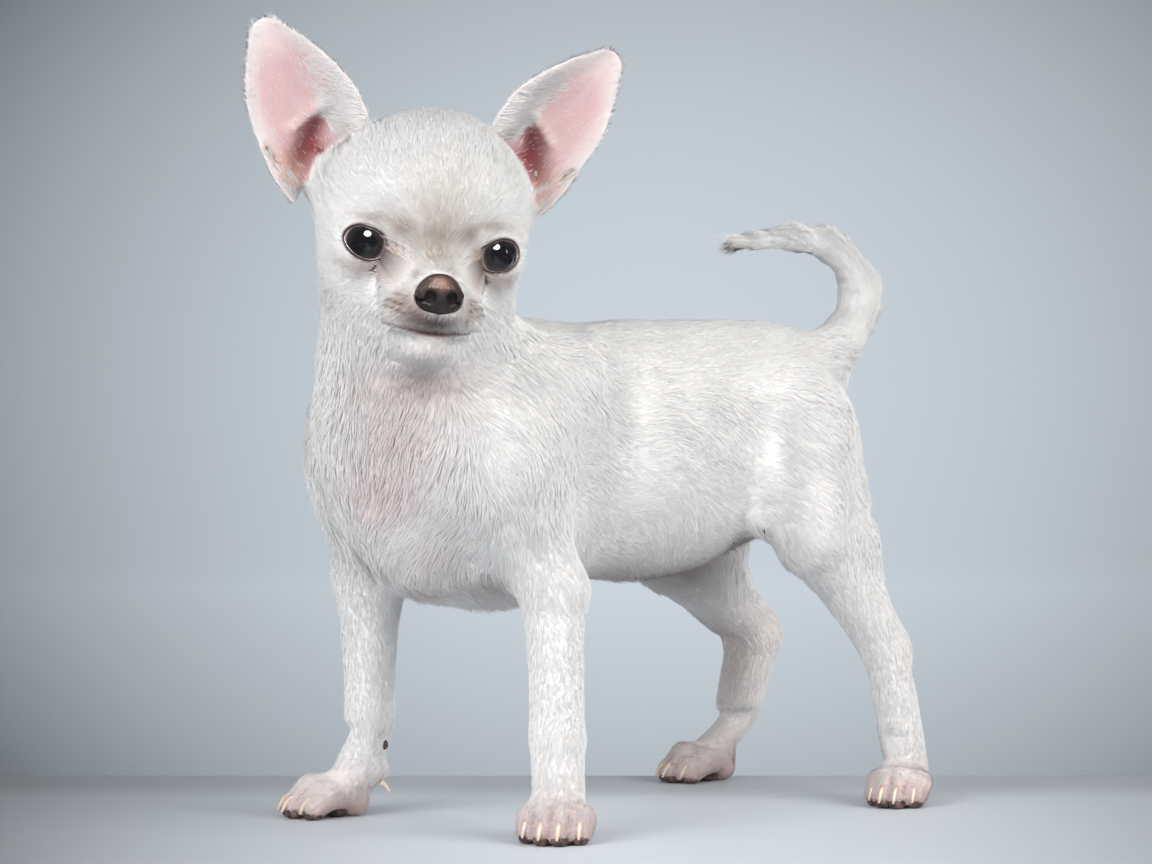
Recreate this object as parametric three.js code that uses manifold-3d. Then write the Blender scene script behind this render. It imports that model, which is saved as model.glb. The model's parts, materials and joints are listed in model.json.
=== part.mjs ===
import * as THREE from 'three';
import { mergeVertices } from 'three/addons/utils/BufferGeometryUtils.js';
import Module from 'manifold-3d';

// A smooth-coated chihuahua puppy, standing, its head turned to its left and its tail curled over the back.
// Millimetres. The dog faces -Y, its left side is +X, and its paws stand on z = 0.

const wasm = await Module();
wasm.setup();

// Driving dimensions of the body
const withersHeight = 162;
const chestHalfWidth = 35;
const neckRadius = 30;
const seam = 0.3;
const pawSoftness = 2.2;

// Driving dimensions of the head, in its own frame: face to -Y, left side +X, centre of the skull at 0
const headPlace = [9.3, -90.7, 190];
const headYaw = THREE.MathUtils.degToRad(62.5);
const headNod = THREE.MathUtils.degToRad(6);
const headRoll = THREE.MathUtils.degToRad(5.2);
const skullHalfWidth = 32.8;
const skullTop = 34;
const eyeRadius = 8;
const eyePlace = [19.3, -17.2, -6.3];
const eyeTurn = THREE.MathUtils.degToRad(13);
const eyeOpening = [13.6, 9.6];
const eyeSlant = 0.13;
const lidThickness = 1.7;
const nosePlace = [0, -41, -18.5];
const noseRadii = [6.5, 5, 6.2];
const mouthHeight = -31.3;
const earRoots = { left: [23, 9, 20], right: [-27, 9, 15] };
const earTips = { left: [55, -1, 59], right: [-56.5, -1, 57] };
const earWall = 1.7;
const earOuterTrim = 0.09;
const earLobeSpread = 0.13;

// Where each limb stands and bends: [x, y, z] of its joints, from the trunk down
const limbs = {
  fore_left: {
    side: 1, joints: [[28, -74, 112], [35, -59.5, 77], [38.8, -60.8, 31], [41.2, -62.4, 15]],
    paw: [43.5, -64.5], heading: [0.615, -0.79], radii: [16.5, 10.6, 8.9, 8.5], width: 25, length: 28,
  },
  fore_right: {
    side: -1, joints: [[-28, -84.5, 112], [-38, -76.5, 78], [-40.5, -74.5, 34], [-43, -76, 16]],
    paw: [-49.2, -84.5], heading: [-0.39, -0.92], radii: [16.5, 12, 8.2, 7.8], width: 25, length: 31,
  },
  hind_left: {
    side: 1, joints: [[25, 56, 126], [37, 50, 90], [43.3, 78.8, 51], [45.6, 84.6, 19]],
    paw: [50, 79.6], heading: [0.424, -0.905], radii: [19.5, 13.4, 7.9, 8], width: 22.5, length: 30,
  },
  hind_right: {
    side: -1, joints: [[-25, 56, 126], [-37, 53, 82], [-40, 96.2, 51], [-41.5, 88.4, 20]],
    paw: [-42, 71.6], heading: [-0.26, -0.964], radii: [19.5, 15, 10, 8.6], width: 22.5, length: 30,
  },
};

// How far up and how far in each leg is a piece of its own
const foreTop = 96;
const foreInner = 22.5;
const foreBehindBend = 14.5;
const hindTop = 104;
const hindInner = 11;
const hindFront = 34;

const coat = { color: 0xf0ebe4, roughness: 0.85, metalness: 0 };
const skinPink = { color: 0xe2b9ae, roughness: 0.7, metalness: 0 };
const noseLeather = { color: 0x2a1c19, roughness: 0.35, metalness: 0 };
const eyeGloss = { color: 0x120c0a, roughness: 0.08, metalness: 0 };
const clawHorn = { color: 0xd9c4a6, roughness: 0.45, metalness: 0 };

// Forms are functions of a point that give its distance to a surface, less than zero inside.

function ellipsoid([cx, cy, cz], [rx, ry, rz]) {
  return (x, y, z) => {
    const ax = (x - cx) / rx;
    const ay = (y - cy) / ry;
    const az = (z - cz) / rz;
    const whole = Math.hypot(ax, ay, az);
    const slope = Math.hypot(ax / rx, ay / ry, az / rz);
    return slope < 1e-9 ? -Math.min(rx, ry, rz) : whole * (whole - 1) / slope;
  };
}

function ball(centre, radius) {
  return ellipsoid(centre, [radius, radius, radius]);
}

// A bone-like bar with round ends whose radius runs from one to the other.
function bar([ax, ay, az], [bx, by, bz], startRadius, endRadius) {
  const dx = bx - ax;
  const dy = by - ay;
  const dz = bz - az;
  const span = dx * dx + dy * dy + dz * dz;
  return (x, y, z) => {
    const px = x - ax;
    const py = y - ay;
    const pz = z - az;
    const t = Math.min(1, Math.max(0, (px * dx + py * dy + pz * dz) / span));
    return Math.hypot(px - t * dx, py - t * dy, pz - t * dz) - startRadius - t * (endRadius - startRadius);
  };
}

function softMin(a, b, k) {
  const h = Math.max(k - Math.abs(a - b), 0) / k;
  return Math.min(a, b) - h * h * k / 4;
}

// Joins [form, softness] pairs in order. A form marked as a hollow is taken away instead.
function flesh(...pieces) {
  return (x, y, z) => {
    let d = pieces[0][0](x, y, z);
    for (let i = 1; i < pieces.length; i += 1) {
      const [form, softness, hollow] = pieces[i];
      d = hollow ? -softMin(-d, form(x, y, z), softness) : softMin(d, form(x, y, z), softness);
    }
    return d;
  };
}

function mirrored(pieces) {
  return pieces.flatMap((make) => [make(1), make(-1)]);
}

function unit([x, y, z]) {
  const length = Math.hypot(x, y, z);
  return [x / length, y / length, z / length];
}

// A flat limit: points beyond it, along its outward normal, are outside.
function limit(point, normal) {
  const n = unit(normal);
  const offset = point[0] * n[0] + point[1] * n[1] + point[2] * n[2];
  return { n, offset, at: (x, y, z) => x * n[0] + y * n[1] + z * n[2] - offset };
}

function opposite({ n, offset }) {
  return limit(n.map((v) => v * offset), n.map((v) => -v));
}

function region(limits) {
  return (x, y, z) => Math.max(...limits.map((one) => one.at(x, y, z)));
}

// Solids

// A geometry with only its places, those that coincide made one.
function welded(geometry) {
  const plain = geometry.index ? geometry.toNonIndexed() : geometry;
  const bare = new THREE.BufferGeometry().setAttribute('position', plain.getAttribute('position'));
  return mergeVertices(bare, 1e-4);
}

function solidOf(geometry) {
  const merged = welded(geometry);
  const corners = merged.index.array;
  const kept = [];
  for (let i = 0; i < corners.length; i += 3) {
    const [a, b, c] = [corners[i], corners[i + 1], corners[i + 2]];
    if (a !== b && b !== c && c !== a) kept.push(a, b, c);
  }
  return new wasm.Manifold(new wasm.Mesh({
    numProp: 3,
    vertProperties: new Float32Array(merged.attributes.position.array),
    triVerts: new Uint32Array(kept),
  }));
}

// The largest closed surface of a solid, as a geometry.
function geometryOf(solid) {
  const [largest] = solid.decompose().sort((a, b) => b.volume() - a.volume());
  const { vertProperties, triVerts } = largest.getMesh();
  const geometry = new THREE.BufferGeometry();
  geometry.setAttribute('position', new THREE.BufferAttribute(vertProperties, 3));
  geometry.setIndex(new THREE.BufferAttribute(triVerts, 1));
  geometry.computeVertexNormals();
  return geometry;
}

// A large block whose face lies on a limit, on the side that the limit keeps, set back by half a seam.
function blockInside({ n, offset }, gap = seam / 2) {
  const size = 600;
  const facing = new THREE.Vector3(...n);
  const turn = new THREE.Quaternion().setFromUnitVectors(new THREE.Vector3(0, 0, 1), facing);
  const block = new THREE.BoxGeometry(size, size, size);
  block.translate(0, 0, offset - gap - size / 2);
  block.applyQuaternion(turn);
  return solidOf(block);
}

function cutTo(solid, limits, gap) {
  return limits.reduce((rest, one) => rest.intersect(blockInside(one, gap)), solid);
}

// The distance from a point to the form's surface, going out along a direction.
function reach(form, [ox, oy, oz], [dx, dy, dz], farthest) {
  const stride = 1.2;
  let near = 0;
  let far = stride;
  while (far < farthest && form(ox + dx * far, oy + dy * far, oz + dz * far) < 0) {
    near = far;
    far += stride;
  }
  for (let i = 0; i < 16; i += 1) {
    const middle = (near + far) / 2;
    if (form(ox + dx * middle, oy + dy * middle, oz + dz * middle) < 0) near = middle;
    else far = middle;
  }
  return near;
}

// A capsule laid along a spine, each of its vertices run out from the spine onto the form.
function wrapped(form, spine, side, { around, along, caps, farthest = 120 }) {
  const curve = new THREE.CatmullRomCurve3(spine.map((p) => new THREE.Vector3(...p)));
  const height = 2;
  const geometry = welded(new THREE.CapsuleGeometry(1, height, caps, around, along));
  const spot = geometry.getAttribute('position');
  const across = new THREE.Vector3();
  const other = new THREE.Vector3();
  for (let i = 0; i < spot.count; i += 1) {
    const level = Math.min(height / 2, Math.max(-height / 2, spot.getY(i)));
    const share = level / height + 0.5;
    const centre = curve.getPoint(share);
    const tangent = curve.getTangent(share);
    across.set(...side).addScaledVector(tangent, -tangent.dot(across.set(...side))).normalize();
    other.crossVectors(across, tangent);
    const way = across.clone().multiplyScalar(spot.getX(i))
      .addScaledVector(tangent, spot.getY(i) - level)
      .addScaledVector(other, spot.getZ(i))
      .normalize();
    centre.addScaledVector(way, reach(form, centre.toArray(), way.toArray(), farthest));
    spot.setXYZ(i, centre.x, centre.y, centre.z);
  }
  return solidOf(geometry);
}

// A sphere whose vertices run out from a centre onto the form, closer together towards a direction.
function burst(form, centre, detail, towards = [0, 0, 0], farthest = 120) {
  const geometry = welded(new THREE.IcosahedronGeometry(1, detail));
  const spot = geometry.getAttribute('position');
  for (let i = 0; i < spot.count; i += 1) {
    const way = unit([spot.getX(i) + towards[0], spot.getY(i) + towards[1], spot.getZ(i) + towards[2]]);
    const run = reach(form, centre, way, farthest);
    spot.setXYZ(i, centre[0] + way[0] * run, centre[1] + way[1] * run, centre[2] + way[2] * run);
  }
  return solidOf(geometry);
}

// The head

const headGroup = new THREE.Group();
headGroup.position.set(...headPlace);
headGroup.rotation.set(headNod, headRoll, headYaw, 'ZXY');
headGroup.updateMatrixWorld(true);
const intoHead = headGroup.matrixWorld.clone().invert();

function headSpot(point) {
  return new THREE.Vector3(...point).applyMatrix4(headGroup.matrixWorld).toArray();
}

// A form given in the head's frame, asked about a point in the body's frame.
function seenFromBody(form) {
  const m = intoHead.elements;
  return (x, y, z) => form(
    m[0] * x + m[4] * y + m[8] * z + m[12],
    m[1] * x + m[5] * y + m[9] * z + m[13],
    m[2] * x + m[6] * y + m[10] * z + m[14],
  );
}

const cranium = ellipsoid([0, 1, 3], [skullHalfWidth, 34.5, skullTop - 3]);
const forehead = ellipsoid([0, -11, 10.5], [25.5, 21.5, 23.5]);
const muzzleBase = bar([0, -16, -19], [0, -33, -21], 15, 10.5);
const noseBridge = bar([0, -24, -13], [0, -38, -16.5], 7.5, 5.8);
const chin = ellipsoid([0, -31.5, -35.6], [9, 7.6, 5.2]);

function cheek(s) {
  return ellipsoid([s * 16 - 0.9, -4, -16], [12.6, 17, 15]);
}

function jaw(s) {
  return bar([s * 12, -2, -25], [0, -28, -33], 10, 6.5);
}

function upperLip(s) {
  return ellipsoid([s * 7.6, -32.5, -25], [8.6, 8.6, 7]);
}

function brow(s) {
  return ball([s * 15, -21, 4], 7);
}

function earSeat(s) {
  return ellipsoid([s * 27.5, 7, 9], [8, 9, 9]);
}

function lids(s) {
  return ball([s * eyePlace[0], eyePlace[1], eyePlace[2]], eyeRadius + lidThickness);
}

const skull = flesh(
  [cranium],
  [forehead, 10],
  ...mirrored([(s) => [cheek(s), 10], (s) => [jaw(s), 8]]),
  [muzzleBase, 8],
  [noseBridge, 5],
  ...mirrored([(s) => [upperLip(s), 3.5], (s) => [brow(s), 6]]),
  ...mirrored([(s) => [earSeat(s), 6], (s) => [lids(s), 3.5]]),
  [chin, 3],
);

const headBasePoint = [0, 12, -25];
const headBaseNormal = [0, 0.36, -0.933];
const headBase = limit(headBasePoint, headBaseNormal);

function eyeballProfile(grow) {
  const corneaCentre = 2.9;
  const corneaRadius = eyeRadius - corneaCentre + 0.75 + grow;
  const ballRadius = eyeRadius + grow;
  const points = [];
  const steps = 7;
  const meet = 0.62;
  for (let i = 0; i <= steps; i += 1) {
    const angle = -Math.PI / 2 + (Math.PI - meet) * i / steps;
    points.push(new THREE.Vector2(ballRadius * Math.cos(angle), ballRadius * Math.sin(angle)));
  }
  const first = Math.asin(Math.min(1, ballRadius * Math.sin(meet) / corneaRadius));
  for (let i = 1; i <= 3; i += 1) {
    const angle = first * (1 - i / 3);
    const ahead = corneaCentre + corneaRadius * Math.cos(angle);
    points.push(new THREE.Vector2(corneaRadius * Math.sin(angle), ahead));
  }
  points[0].x = 0;
  points[points.length - 1].x = 0;
  return points;
}

// Turns a shape made along +Z, or lathed along +Y, to look out of the skull where the eye does.
function setAsEye(geometry, s) {
  return geometry.rotateZ(s * eyeTurn).translate(s * eyePlace[0], eyePlace[1], eyePlace[2]);
}

function eyeball(s, grow = 0) {
  return solidOf(setAsEye(new THREE.LatheGeometry(eyeballProfile(grow), 12).rotateZ(Math.PI), s));
}

// The opening between the lids: an almond, a little drawn out and lower at the inner corner.
function lidOpening(s) {
  const [width, height] = eyeOpening;
  const almond = new THREE.Shape();
  const turns = 22;
  for (let i = 0; i < turns; i += 1) {
    const angle = 2 * Math.PI * i / turns;
    const inner = Math.max(0, -Math.cos(angle)) ** 3;
    const outward = (width / 2) * Math.cos(angle) * (1 + 0.12 * inner);
    const x = s * outward;
    const y = (height / 2) * Math.sin(angle) * (1 - 0.12 * inner) - 0.6 * inner + eyeSlant * outward;
    if (i === 0) almond.moveTo(x, y);
    else almond.lineTo(x, y);
  }
  const cutter = new THREE.ExtrudeGeometry(almond, { depth: 14, bevelEnabled: false, steps: 1 });
  return solidOf(setAsEye(cutter.rotateX(Math.PI / 2).translate(0, -1.5, 0), s));
}

// The mouth: a fine groove that follows the muzzle from one corner to the other, and up to the nose.
function mouthGroove() {
  const inside = [0, -14, mouthHeight + 1];
  const spots = [];
  const halfTurn = 1.13;
  const count = 12;
  for (let i = 0; i <= count; i += 1) {
    const angle = halfTurn * (2 * i / count - 1);
    const rise = 0.02 + 0.10 * (Math.abs(angle) / halfTurn) ** 3 - 0.03 * Math.exp(-((angle / 0.25) ** 2));
    const way = unit([Math.sin(angle), -Math.cos(angle), rise]);
    const run = reach(skull, inside, way, 60) - 0.1;
    spots.push(new THREE.Vector3(...inside.map((v, axis) => v + way[axis] * run)));
  }
  return sweep(spots, 0.75, 26).add(sweep([
    new THREE.Vector3(0, nosePlace[1] - 1.5, nosePlace[2] - noseRadii[2] + 1),
    new THREE.Vector3(0, -40.2, mouthHeight + 2),
    new THREE.Vector3(0, -39, mouthHeight),
  ], 0.5, 6));
}

// A small many-sided rod along a smooth line.
function sweep(spots, radius, steps, sides = 6) {
  const section = new THREE.Shape();
  for (let i = 0; i < sides; i += 1) {
    const angle = 2 * Math.PI * i / sides;
    const corner = [radius * Math.cos(angle), radius * Math.sin(angle)];
    if (i === 0) section.moveTo(...corner);
    else section.lineTo(...corner);
  }
  const line = new THREE.CatmullRomCurve3(spots);
  return solidOf(new THREE.ExtrudeGeometry(section, { steps, extrudePath: line, bevelEnabled: false }));
}

const noseForm = flesh(
  [ellipsoid(nosePlace, noseRadii)],
  ...mirrored([(s) => [ellipsoid([s * 4.1, nosePlace[1] - 0.6, nosePlace[2] - 1.2], [3.3, 4, 3.7]), 1.5]]),
);

function noseSolid(grow) {
  return burst((x, y, z) => noseForm(x, y, z) - grow, nosePlace, 2);
}

function nostril(s) {
  const [, y, z] = nosePlace;
  const pit = new THREE.SphereGeometry(1, 8, 6).scale(1.7, 2.3, 1.9).translate(s * 3.5, y - 4.9, z - 1);
  const slit = sweep([
    new THREE.Vector3(s * 3.4, y - 4.6, z - 2),
    new THREE.Vector3(s * 5.9, y - 3.6, z - 2.6),
    new THREE.Vector3(s * 8.6, y - 0.6, z - 2.2),
  ], 0.55, 3, 4);
  return solidOf(pit).add(slit);
}

// An ear: a leaf of even thickness, rolled towards its root and flatter towards its tip, open to the front.
function earSolid(name, s) {
  const root = new THREE.Vector3(...earRoots[name]);
  const tip = new THREE.Vector3(...earTips[name]);
  const axis = tip.clone().sub(root);
  const up = axis.clone().normalize();
  const open = new THREE.Vector3(s * 0.34, -0.94, 0);
  open.addScaledVector(up, -open.dot(up)).normalize();
  const across = new THREE.Vector3().crossVectors(open, up);
  const halfWidths = new THREE.SplineCurve([
    new THREE.Vector2(0, 14.2), new THREE.Vector2(0.22, 17), new THREE.Vector2(0.45, 18.1),
    new THREE.Vector2(0.68, 15.3), new THREE.Vector2(0.86, 10.4), new THREE.Vector2(1, 4.6),
  ]);
  const depths = new THREE.SplineCurve([
    new THREE.Vector2(0, 14.5), new THREE.Vector2(0.22, 12), new THREE.Vector2(0.45, 8),
    new THREE.Vector2(0.68, 5), new THREE.Vector2(0.86, 2.6), new THREE.Vector2(1, 0.9),
  ]);
  const leaf = new THREE.BoxGeometry(2, 1, 1, 9, 10, 1);
  const spot = leaf.getAttribute('position');
  for (let i = 0; i < spot.count; i += 1) {
    const u = spot.getX(i);
    const v = spot.getY(i) + 0.5;
    const halfWidth = halfWidths.getPoint(v).y;
    const depth = depths.getPoint(v).y;
    const radius = (halfWidth ** 2 + depth ** 2) / (2 * depth);
    const trim = earOuterTrim * Math.exp(-(((v - 0.38) / 0.16) ** 2));
    const lobe = earLobeSpread * Math.exp(-((v / 0.14) ** 2));
    const outer = u * s < 0 ? 1 - trim + lobe : 1;
    const angle = u * outer * 2 * Math.atan(depth / halfWidth);
    const edge = Math.sqrt(Math.max(0, 1 - (0.93 * u) ** 4));
    const wall = earWall * (1 - 0.35 * v) * edge * spot.getZ(i);
    const round = (radius + wall) * Math.cos(angle);
    const place = root.clone().addScaledVector(axis, v - 0.035 * v ** 6 * u * u)
      .addScaledVector(across, (radius + wall) * Math.sin(angle))
      .addScaledVector(open, radius - round);
    spot.setXYZ(i, place.x, place.y, place.z);
  }
  return solidOf(leaf);
}

// The trunk, neck and tail

const tailLine = [
  [0, 86, 149, 9.4], [0, 98.6, 154.4, 7.9], [0, 107.4, 163, 7], [0, 109.6, 173, 6.3],
  [0, 105, 182.5, 5.3], [0, 94, 189, 4.4], [0, 78, 191.2, 3.6], [0, 63, 190.2, 2.5], [0, 50.8, 188.6, 1],
];

function tailBars() {
  return tailLine.slice(1).map((end, i) => {
    const start = tailLine[i];
    return [bar(start.slice(0, 3), end.slice(0, 3), start[3], end[3]), 3];
  });
}

function limbPieces({ joints, radii, side, heading }, hind) {
  const [top, bend, ankle, foot] = joints;
  const pieces = [
    [bar(top, bend, radii[0], radii[1]), 12],
    [bar(bend, ankle, radii[1] - (hind ? 2.8 : 1), radii[2]), 6],
    [bar(ankle, foot, radii[2], radii[3]), 4],
  ];
  if (hind) {
    const haunch = [side * 19, top[1] + 18, top[2] - 6];
    const ham = [bend[0] - 2 * side, bend[1] + 21, bend[2] - 2];
    pieces.push([bar(haunch, ham, 11.5, 9.6), 10]);
    pieces.push([bar(ham, ankle, 8.4, 5.6), 6]);
    pieces.push([ball([ankle[0], ankle[1] + 5, ankle[2] + 2], 4.6), 4]);
  } else {
    const blade = [side * 19, top[1] + 34, withersHeight - 18];
    pieces.push([bar(blade, top, 15, 16), 14]);
    pieces.push([ball([bend[0], bend[1] + 5.5, bend[2] + 1], 6.5), 5]);
    pieces.push([ball(dewclawPlace({ joints, radii, side, heading }).spot, 3.2), 2]);
  }
  return pieces;
}

// The dewclaw's small toe sits on the inner side of the pastern, a little behind it.
function dewclawPlace({ joints, radii, side, heading }) {
  const foot = joints[3];
  const inward = [-side * 0.7, 0.71];
  const spot = [foot[0] + inward[0] * radii[3], foot[1] + inward[1] * radii[3], foot[2] - 2.5];
  return { spot, ahead: [heading[0] * 0.1 + inward[0] * 0.7, heading[1] * 0.1 + inward[1] * 0.7, -0.72] };
}

function across([hx, hy], lateral, ahead, height, [cx, cy]) {
  return [cx + hx * ahead - hy * lateral, cy + hy * ahead + hx * lateral, height];
}

// The four toes of a paw: where each knuckle, tip and claw is, the inner two farther forward and higher.
function toes({ paw, heading, width, length }) {
  const pitch = (width - 9) / 3;
  const front = length / 2;
  return [-1.5, -0.5, 0.5, 1.5].map((step) => {
    const inner = Math.abs(step) < 1;
    const spot = (lateral, ahead, height) => (
      across(heading, lateral * step * pitch, ahead * front, height, paw)
    );
    return {
      root: spot(0.7, -0.15, 7.6),
      knuckle: spot(0.96, inner ? 0.34 : 0.12, inner ? 9.2 : 7.8),
      tip: spot(1.02, inner ? 0.72 : 0.42, 4),
      claw: spot(1.02, inner ? 0.72 : 0.42, 6.4),
      ahead: [heading[0] - heading[1] * step * 0.08, heading[1] + heading[0] * step * 0.08, -0.25],
    };
  });
}

function pawPieces(limb) {
  const { paw, heading, length } = limb;
  const behind = -length / 4;
  const instep = bar(across(heading, 0, behind, 12, paw), across(heading, 0, 0.3, 7.6, paw), 6.8, 6);
  const heel = ellipsoid(across(heading, 0, behind, 4.6, paw), [6.6, 6.2, 5.4]);
  const digits = toes(limb).flatMap(({ root, knuckle, tip }) => [
    [bar(root, knuckle, 4.5, 4.6), pawSoftness],
    [bar(knuckle, tip, 4.6, 4.3), pawSoftness],
  ]);
  return [[instep, pawSoftness], [heel, pawSoftness], ...digits];
}

const ribs = ellipsoid([0, -56, 114.5], [chestHalfWidth, 44, 44.5]);
const loin = ellipsoid([0, 4, 117.5], [34.5, 62, 42.5]);
const croup = ellipsoid([0, 52, 126], [30, 43, 35]);
const brisket = bar([-1.5, -86, 93], [0, -54, 91.5], 19, 19);
const lowerNeck = bar([-5, -82.5, 130], [0, -87, 152], neckRadius + 4.5, neckRadius - 1.2);
const upperNeck = bar([0, -87, 152], [5.5, -90, 178], neckRadius - 2, neckRadius - 5.5);
const backRidge = bar([0, -40, 147], [0, 40, 149], 12, 11);
const rumpRidge = bar([0, 60, 147.5], [0, 90, 147.5], 13, 11);

const body = flesh(
  [ribs],
  [loin, 16],
  [croup, 14],
  [brisket, 12],
  [lowerNeck, 20],
  [upperNeck, 8],
  [backRidge, 12],
  [rumpRidge, 10],
  ...Object.entries(limbs).flatMap(([name, limb]) => limbPieces(limb, name.startsWith('hind'))),
  ...tailBars(),
);

const jawToNeck = 12;
const headForBody = seenFromBody(skull);
const trunk = (x, y, z) => softMin(body(x, y, z), headForBody(x, y, z), jawToNeck);
const headForm = (x, y, z) => {
  const p = new THREE.Vector3(x, y, z).applyMatrix4(headGroup.matrixWorld);
  return softMin(skull(x, y, z), body(p.x, p.y, p.z), jawToNeck);
};

const headBaseInBody = limit(headSpot(headBasePoint), new THREE.Vector3(...headBaseNormal)
  .transformDirection(headGroup.matrixWorld).toArray());
const trunkSpare = 14;
const neckBase = limit([0, -68, 142], [0, 0.45, -0.893]);
const tailBase = limit([0, 97, 151], [0, -0.8, -0.6]);

function foreRegion({ side, joints }) {
  return [
    limit([side * 30, 0, foreTop], [-side * 0.25, 0, 0.97]),
    limit([side * foreInner, 0, 0], [-side, 0, 0]),
    limit([0, joints[1][1] + foreBehindBend, 0], [0, 1, 0]),
  ];
}

function hindRegion({ side }) {
  return [
    limit([side * 30, 0, hindTop], [-side * 0.25, 0, 0.97]),
    limit([side * hindInner, 0, 0], [-side, 0, 0]),
    limit([0, hindFront, 0], [0, -1, 0]),
  ];
}

// A form that stops a little past the flat cuts still to come, so that the cuts leave clean edges.
function within(form, limits, spare = 5) {
  const inside = region(limits);
  return (x, y, z) => Math.max(form(x, y, z), inside(x, y, z) - spare);
}

function without(form, limits, inset) {
  const inside = region(limits);
  return (x, y, z) => Math.max(form(x, y, z), -inside(x, y, z) - inset);
}

const limbRegions = Object.entries(limbs).map(([name, limb]) => (
  name.startsWith('fore') ? foreRegion(limb) : hindRegion(limb)
));

function torsoSolid() {
  let form = within(trunk, [opposite(neckBase), opposite(tailBase)], trunkSpare);
  for (const limits of limbRegions) form = without(form, limits, 8);
  let solid = wrapped(form, [[0, -66, 118], [0, 0, 120], [0, 66, 128]], [1, 0, 0], {
    around: 34, along: 20, caps: 7,
  });
  solid = cutTo(solid, [opposite(neckBase), opposite(tailBase)]);
  for (const limits of limbRegions) {
    const block = limits.reduce((rest, one) => {
      const next = blockInside(one, -seam / 2);
      return rest ? rest.intersect(next) : next;
    }, null);
    solid = solid.subtract(block);
  }
  return solid;
}

function neckSolid() {
  const limits = [neckBase, opposite(headBaseInBody)];
  const solid = wrapped(within(trunk, limits, trunkSpare), [[0, -82, 148], [3, -90, 162]], [1, 0, 0], {
    around: 34, along: 6, caps: 6,
  });
  return cutTo(solid, limits);
}

function headSolid() {
  const face = unit([0, -1, -0.1]).map((v) => v * 0.42);
  let solid = burst(within(headForm, [headBase], 8), [0, -8, -17], 12, face);
  solid = cutTo(solid, [headBase]);
  solid = solid.subtract(noseSolid(seam)).subtract(mouthGroove());
  for (const s of [1, -1]) solid = solid.subtract(eyeball(s, seam)).subtract(lidOpening(s));
  return solid;
}

const dog = new THREE.Group();

function addNode(name, solid, finish, parent = dog) {
  const mesh = new THREE.Mesh(geometryOf(solid), new THREE.MeshStandardMaterial(finish));
  mesh.name = name;
  parent.add(mesh);
}

function addHead() {
  addNode('head', headSolid(), coat, headGroup);
  const [left, right] = [nostril(1), nostril(-1)];
  addNode('nose', noseSolid(0).subtract(left).subtract(right), noseLeather, headGroup);
  const headSurround = burst((x, y, z) => headForm(x, y, z) - seam - 0.1, [0, -2, -4], 12);
  for (const [name, s] of [['left', 1], ['right', -1]]) {
    addNode(`eye_${name}`, eyeball(s), eyeGloss, headGroup);
    addNode(`ear_${name}`, earSolid(name, s).subtract(headSurround), skinPink, headGroup);
  }
  dog.add(headGroup);
}

function addTail() {
  const stations = tailLine.map((p) => p.slice(0, 3));
  const cutAt = (i) => {
    const [, y0, z0] = stations[i - 1];
    const [, y1, z1] = stations[i + 1];
    return limit(stations[i], [0, y1 - y0, z1 - z0]);
  };
  const [low, high] = [cutAt(3), cutAt(5)];
  const lengths = [
    ['tail_base', [tailBase, low], stations.slice(1, 4), 3],
    ['tail_middle', [opposite(low), high], stations.slice(3, 6), 3],
    ['tail_tip', [opposite(high)], stations.slice(5), 7],
  ];
  for (const [name, limits, spine, along] of lengths) {
    const solid = wrapped(within(trunk, limits), spine, [1, 0, 0], { around: 13, along, caps: 3 });
    addNode(name, cutTo(solid, limits), coat);
  }
}

function between(a, b, share) {
  return a.map((v, i) => v + (b[i] - v) * share);
}

function addLimb(name, limb, limits) {
  const { joints, side, paw, heading } = limb;
  const hind = name.startsWith('hind');
  const form = flesh([body], ...pawPieces(limb));
  const [, bend, ankle, foot] = joints;
  const pasternSpine = [between(ankle, foot, 0.25), between(ankle, foot, 0.8)];
  const lean = (a, b) => [b[0] - a[0], b[1] - a[1], b[2] - a[2]];
  const upperCut = limit(between(bend, ankle, hind ? 0.16 : 0.12), lean(bend, ankle));
  const lowerCut = limit(between(ankle, foot, hind ? 0.12 : 0.25), lean(ankle, foot));
  const footCut = limit(between(ankle, foot, 0.86), [0, 0, -1]);
  const upperSpine = hind
    ? [[side * 28, 60, 100], [side * 34, 54, 90]]
    : [[side * 30, bend[1] - 6, 88], bend];
  const stages = [
    ['upper', [...limits, upperCut], upperSpine, { around: 22, along: 4, caps: 4 }],
    ['lower', [...limits, opposite(upperCut), lowerCut], [between(bend, ankle, 0.2), ankle], {
      around: 15, along: 5, caps: 3,
    }],
  ];
  if (hind) {
    stages.push(['pastern', [opposite(lowerCut), footCut], pasternSpine, {
      around: 14, along: 3, caps: 3,
    }]);
  }
  for (const [part, bounds, spine, mesh] of stages) {
    const solid = wrapped(within(form, bounds), spine, [1, 0, 0], mesh);
    addNode(`leg_${name}_${part}`, cutTo(solid, bounds), coat);
  }
  const pawTop = opposite(hind ? footCut : lowerCut);
  const ground = limit([0, 0, 0], [0, 0, -1]);
  const centre = across(heading, 0, 0.5, 7, paw);
  const pawSolid = burst(within(form, [pawTop, ground]), centre, 4);
  addNode(`paw_${name}`, cutTo(pawSolid, [pawTop]).intersect(blockInside(ground, 0)), coat);
  const around = (x, y, z) => form(x, y, z) - seam - 0.05;
  addClaws(name, limb, burst(around, centre, 4, [0, 0, 0], 24));
  if (hind) return;
  const dewclaw = dewclawPlace(limb);
  const pasternAround = burst(around, foot, 4, [0, 0, 0], 12);
  const horn = clawSolid(dewclaw.spot, dewclaw.ahead, 1.2, 7, 1.2);
  addNode(`dewclaw_${name}`, horn.subtract(pasternAround), clawHorn);
}

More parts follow.
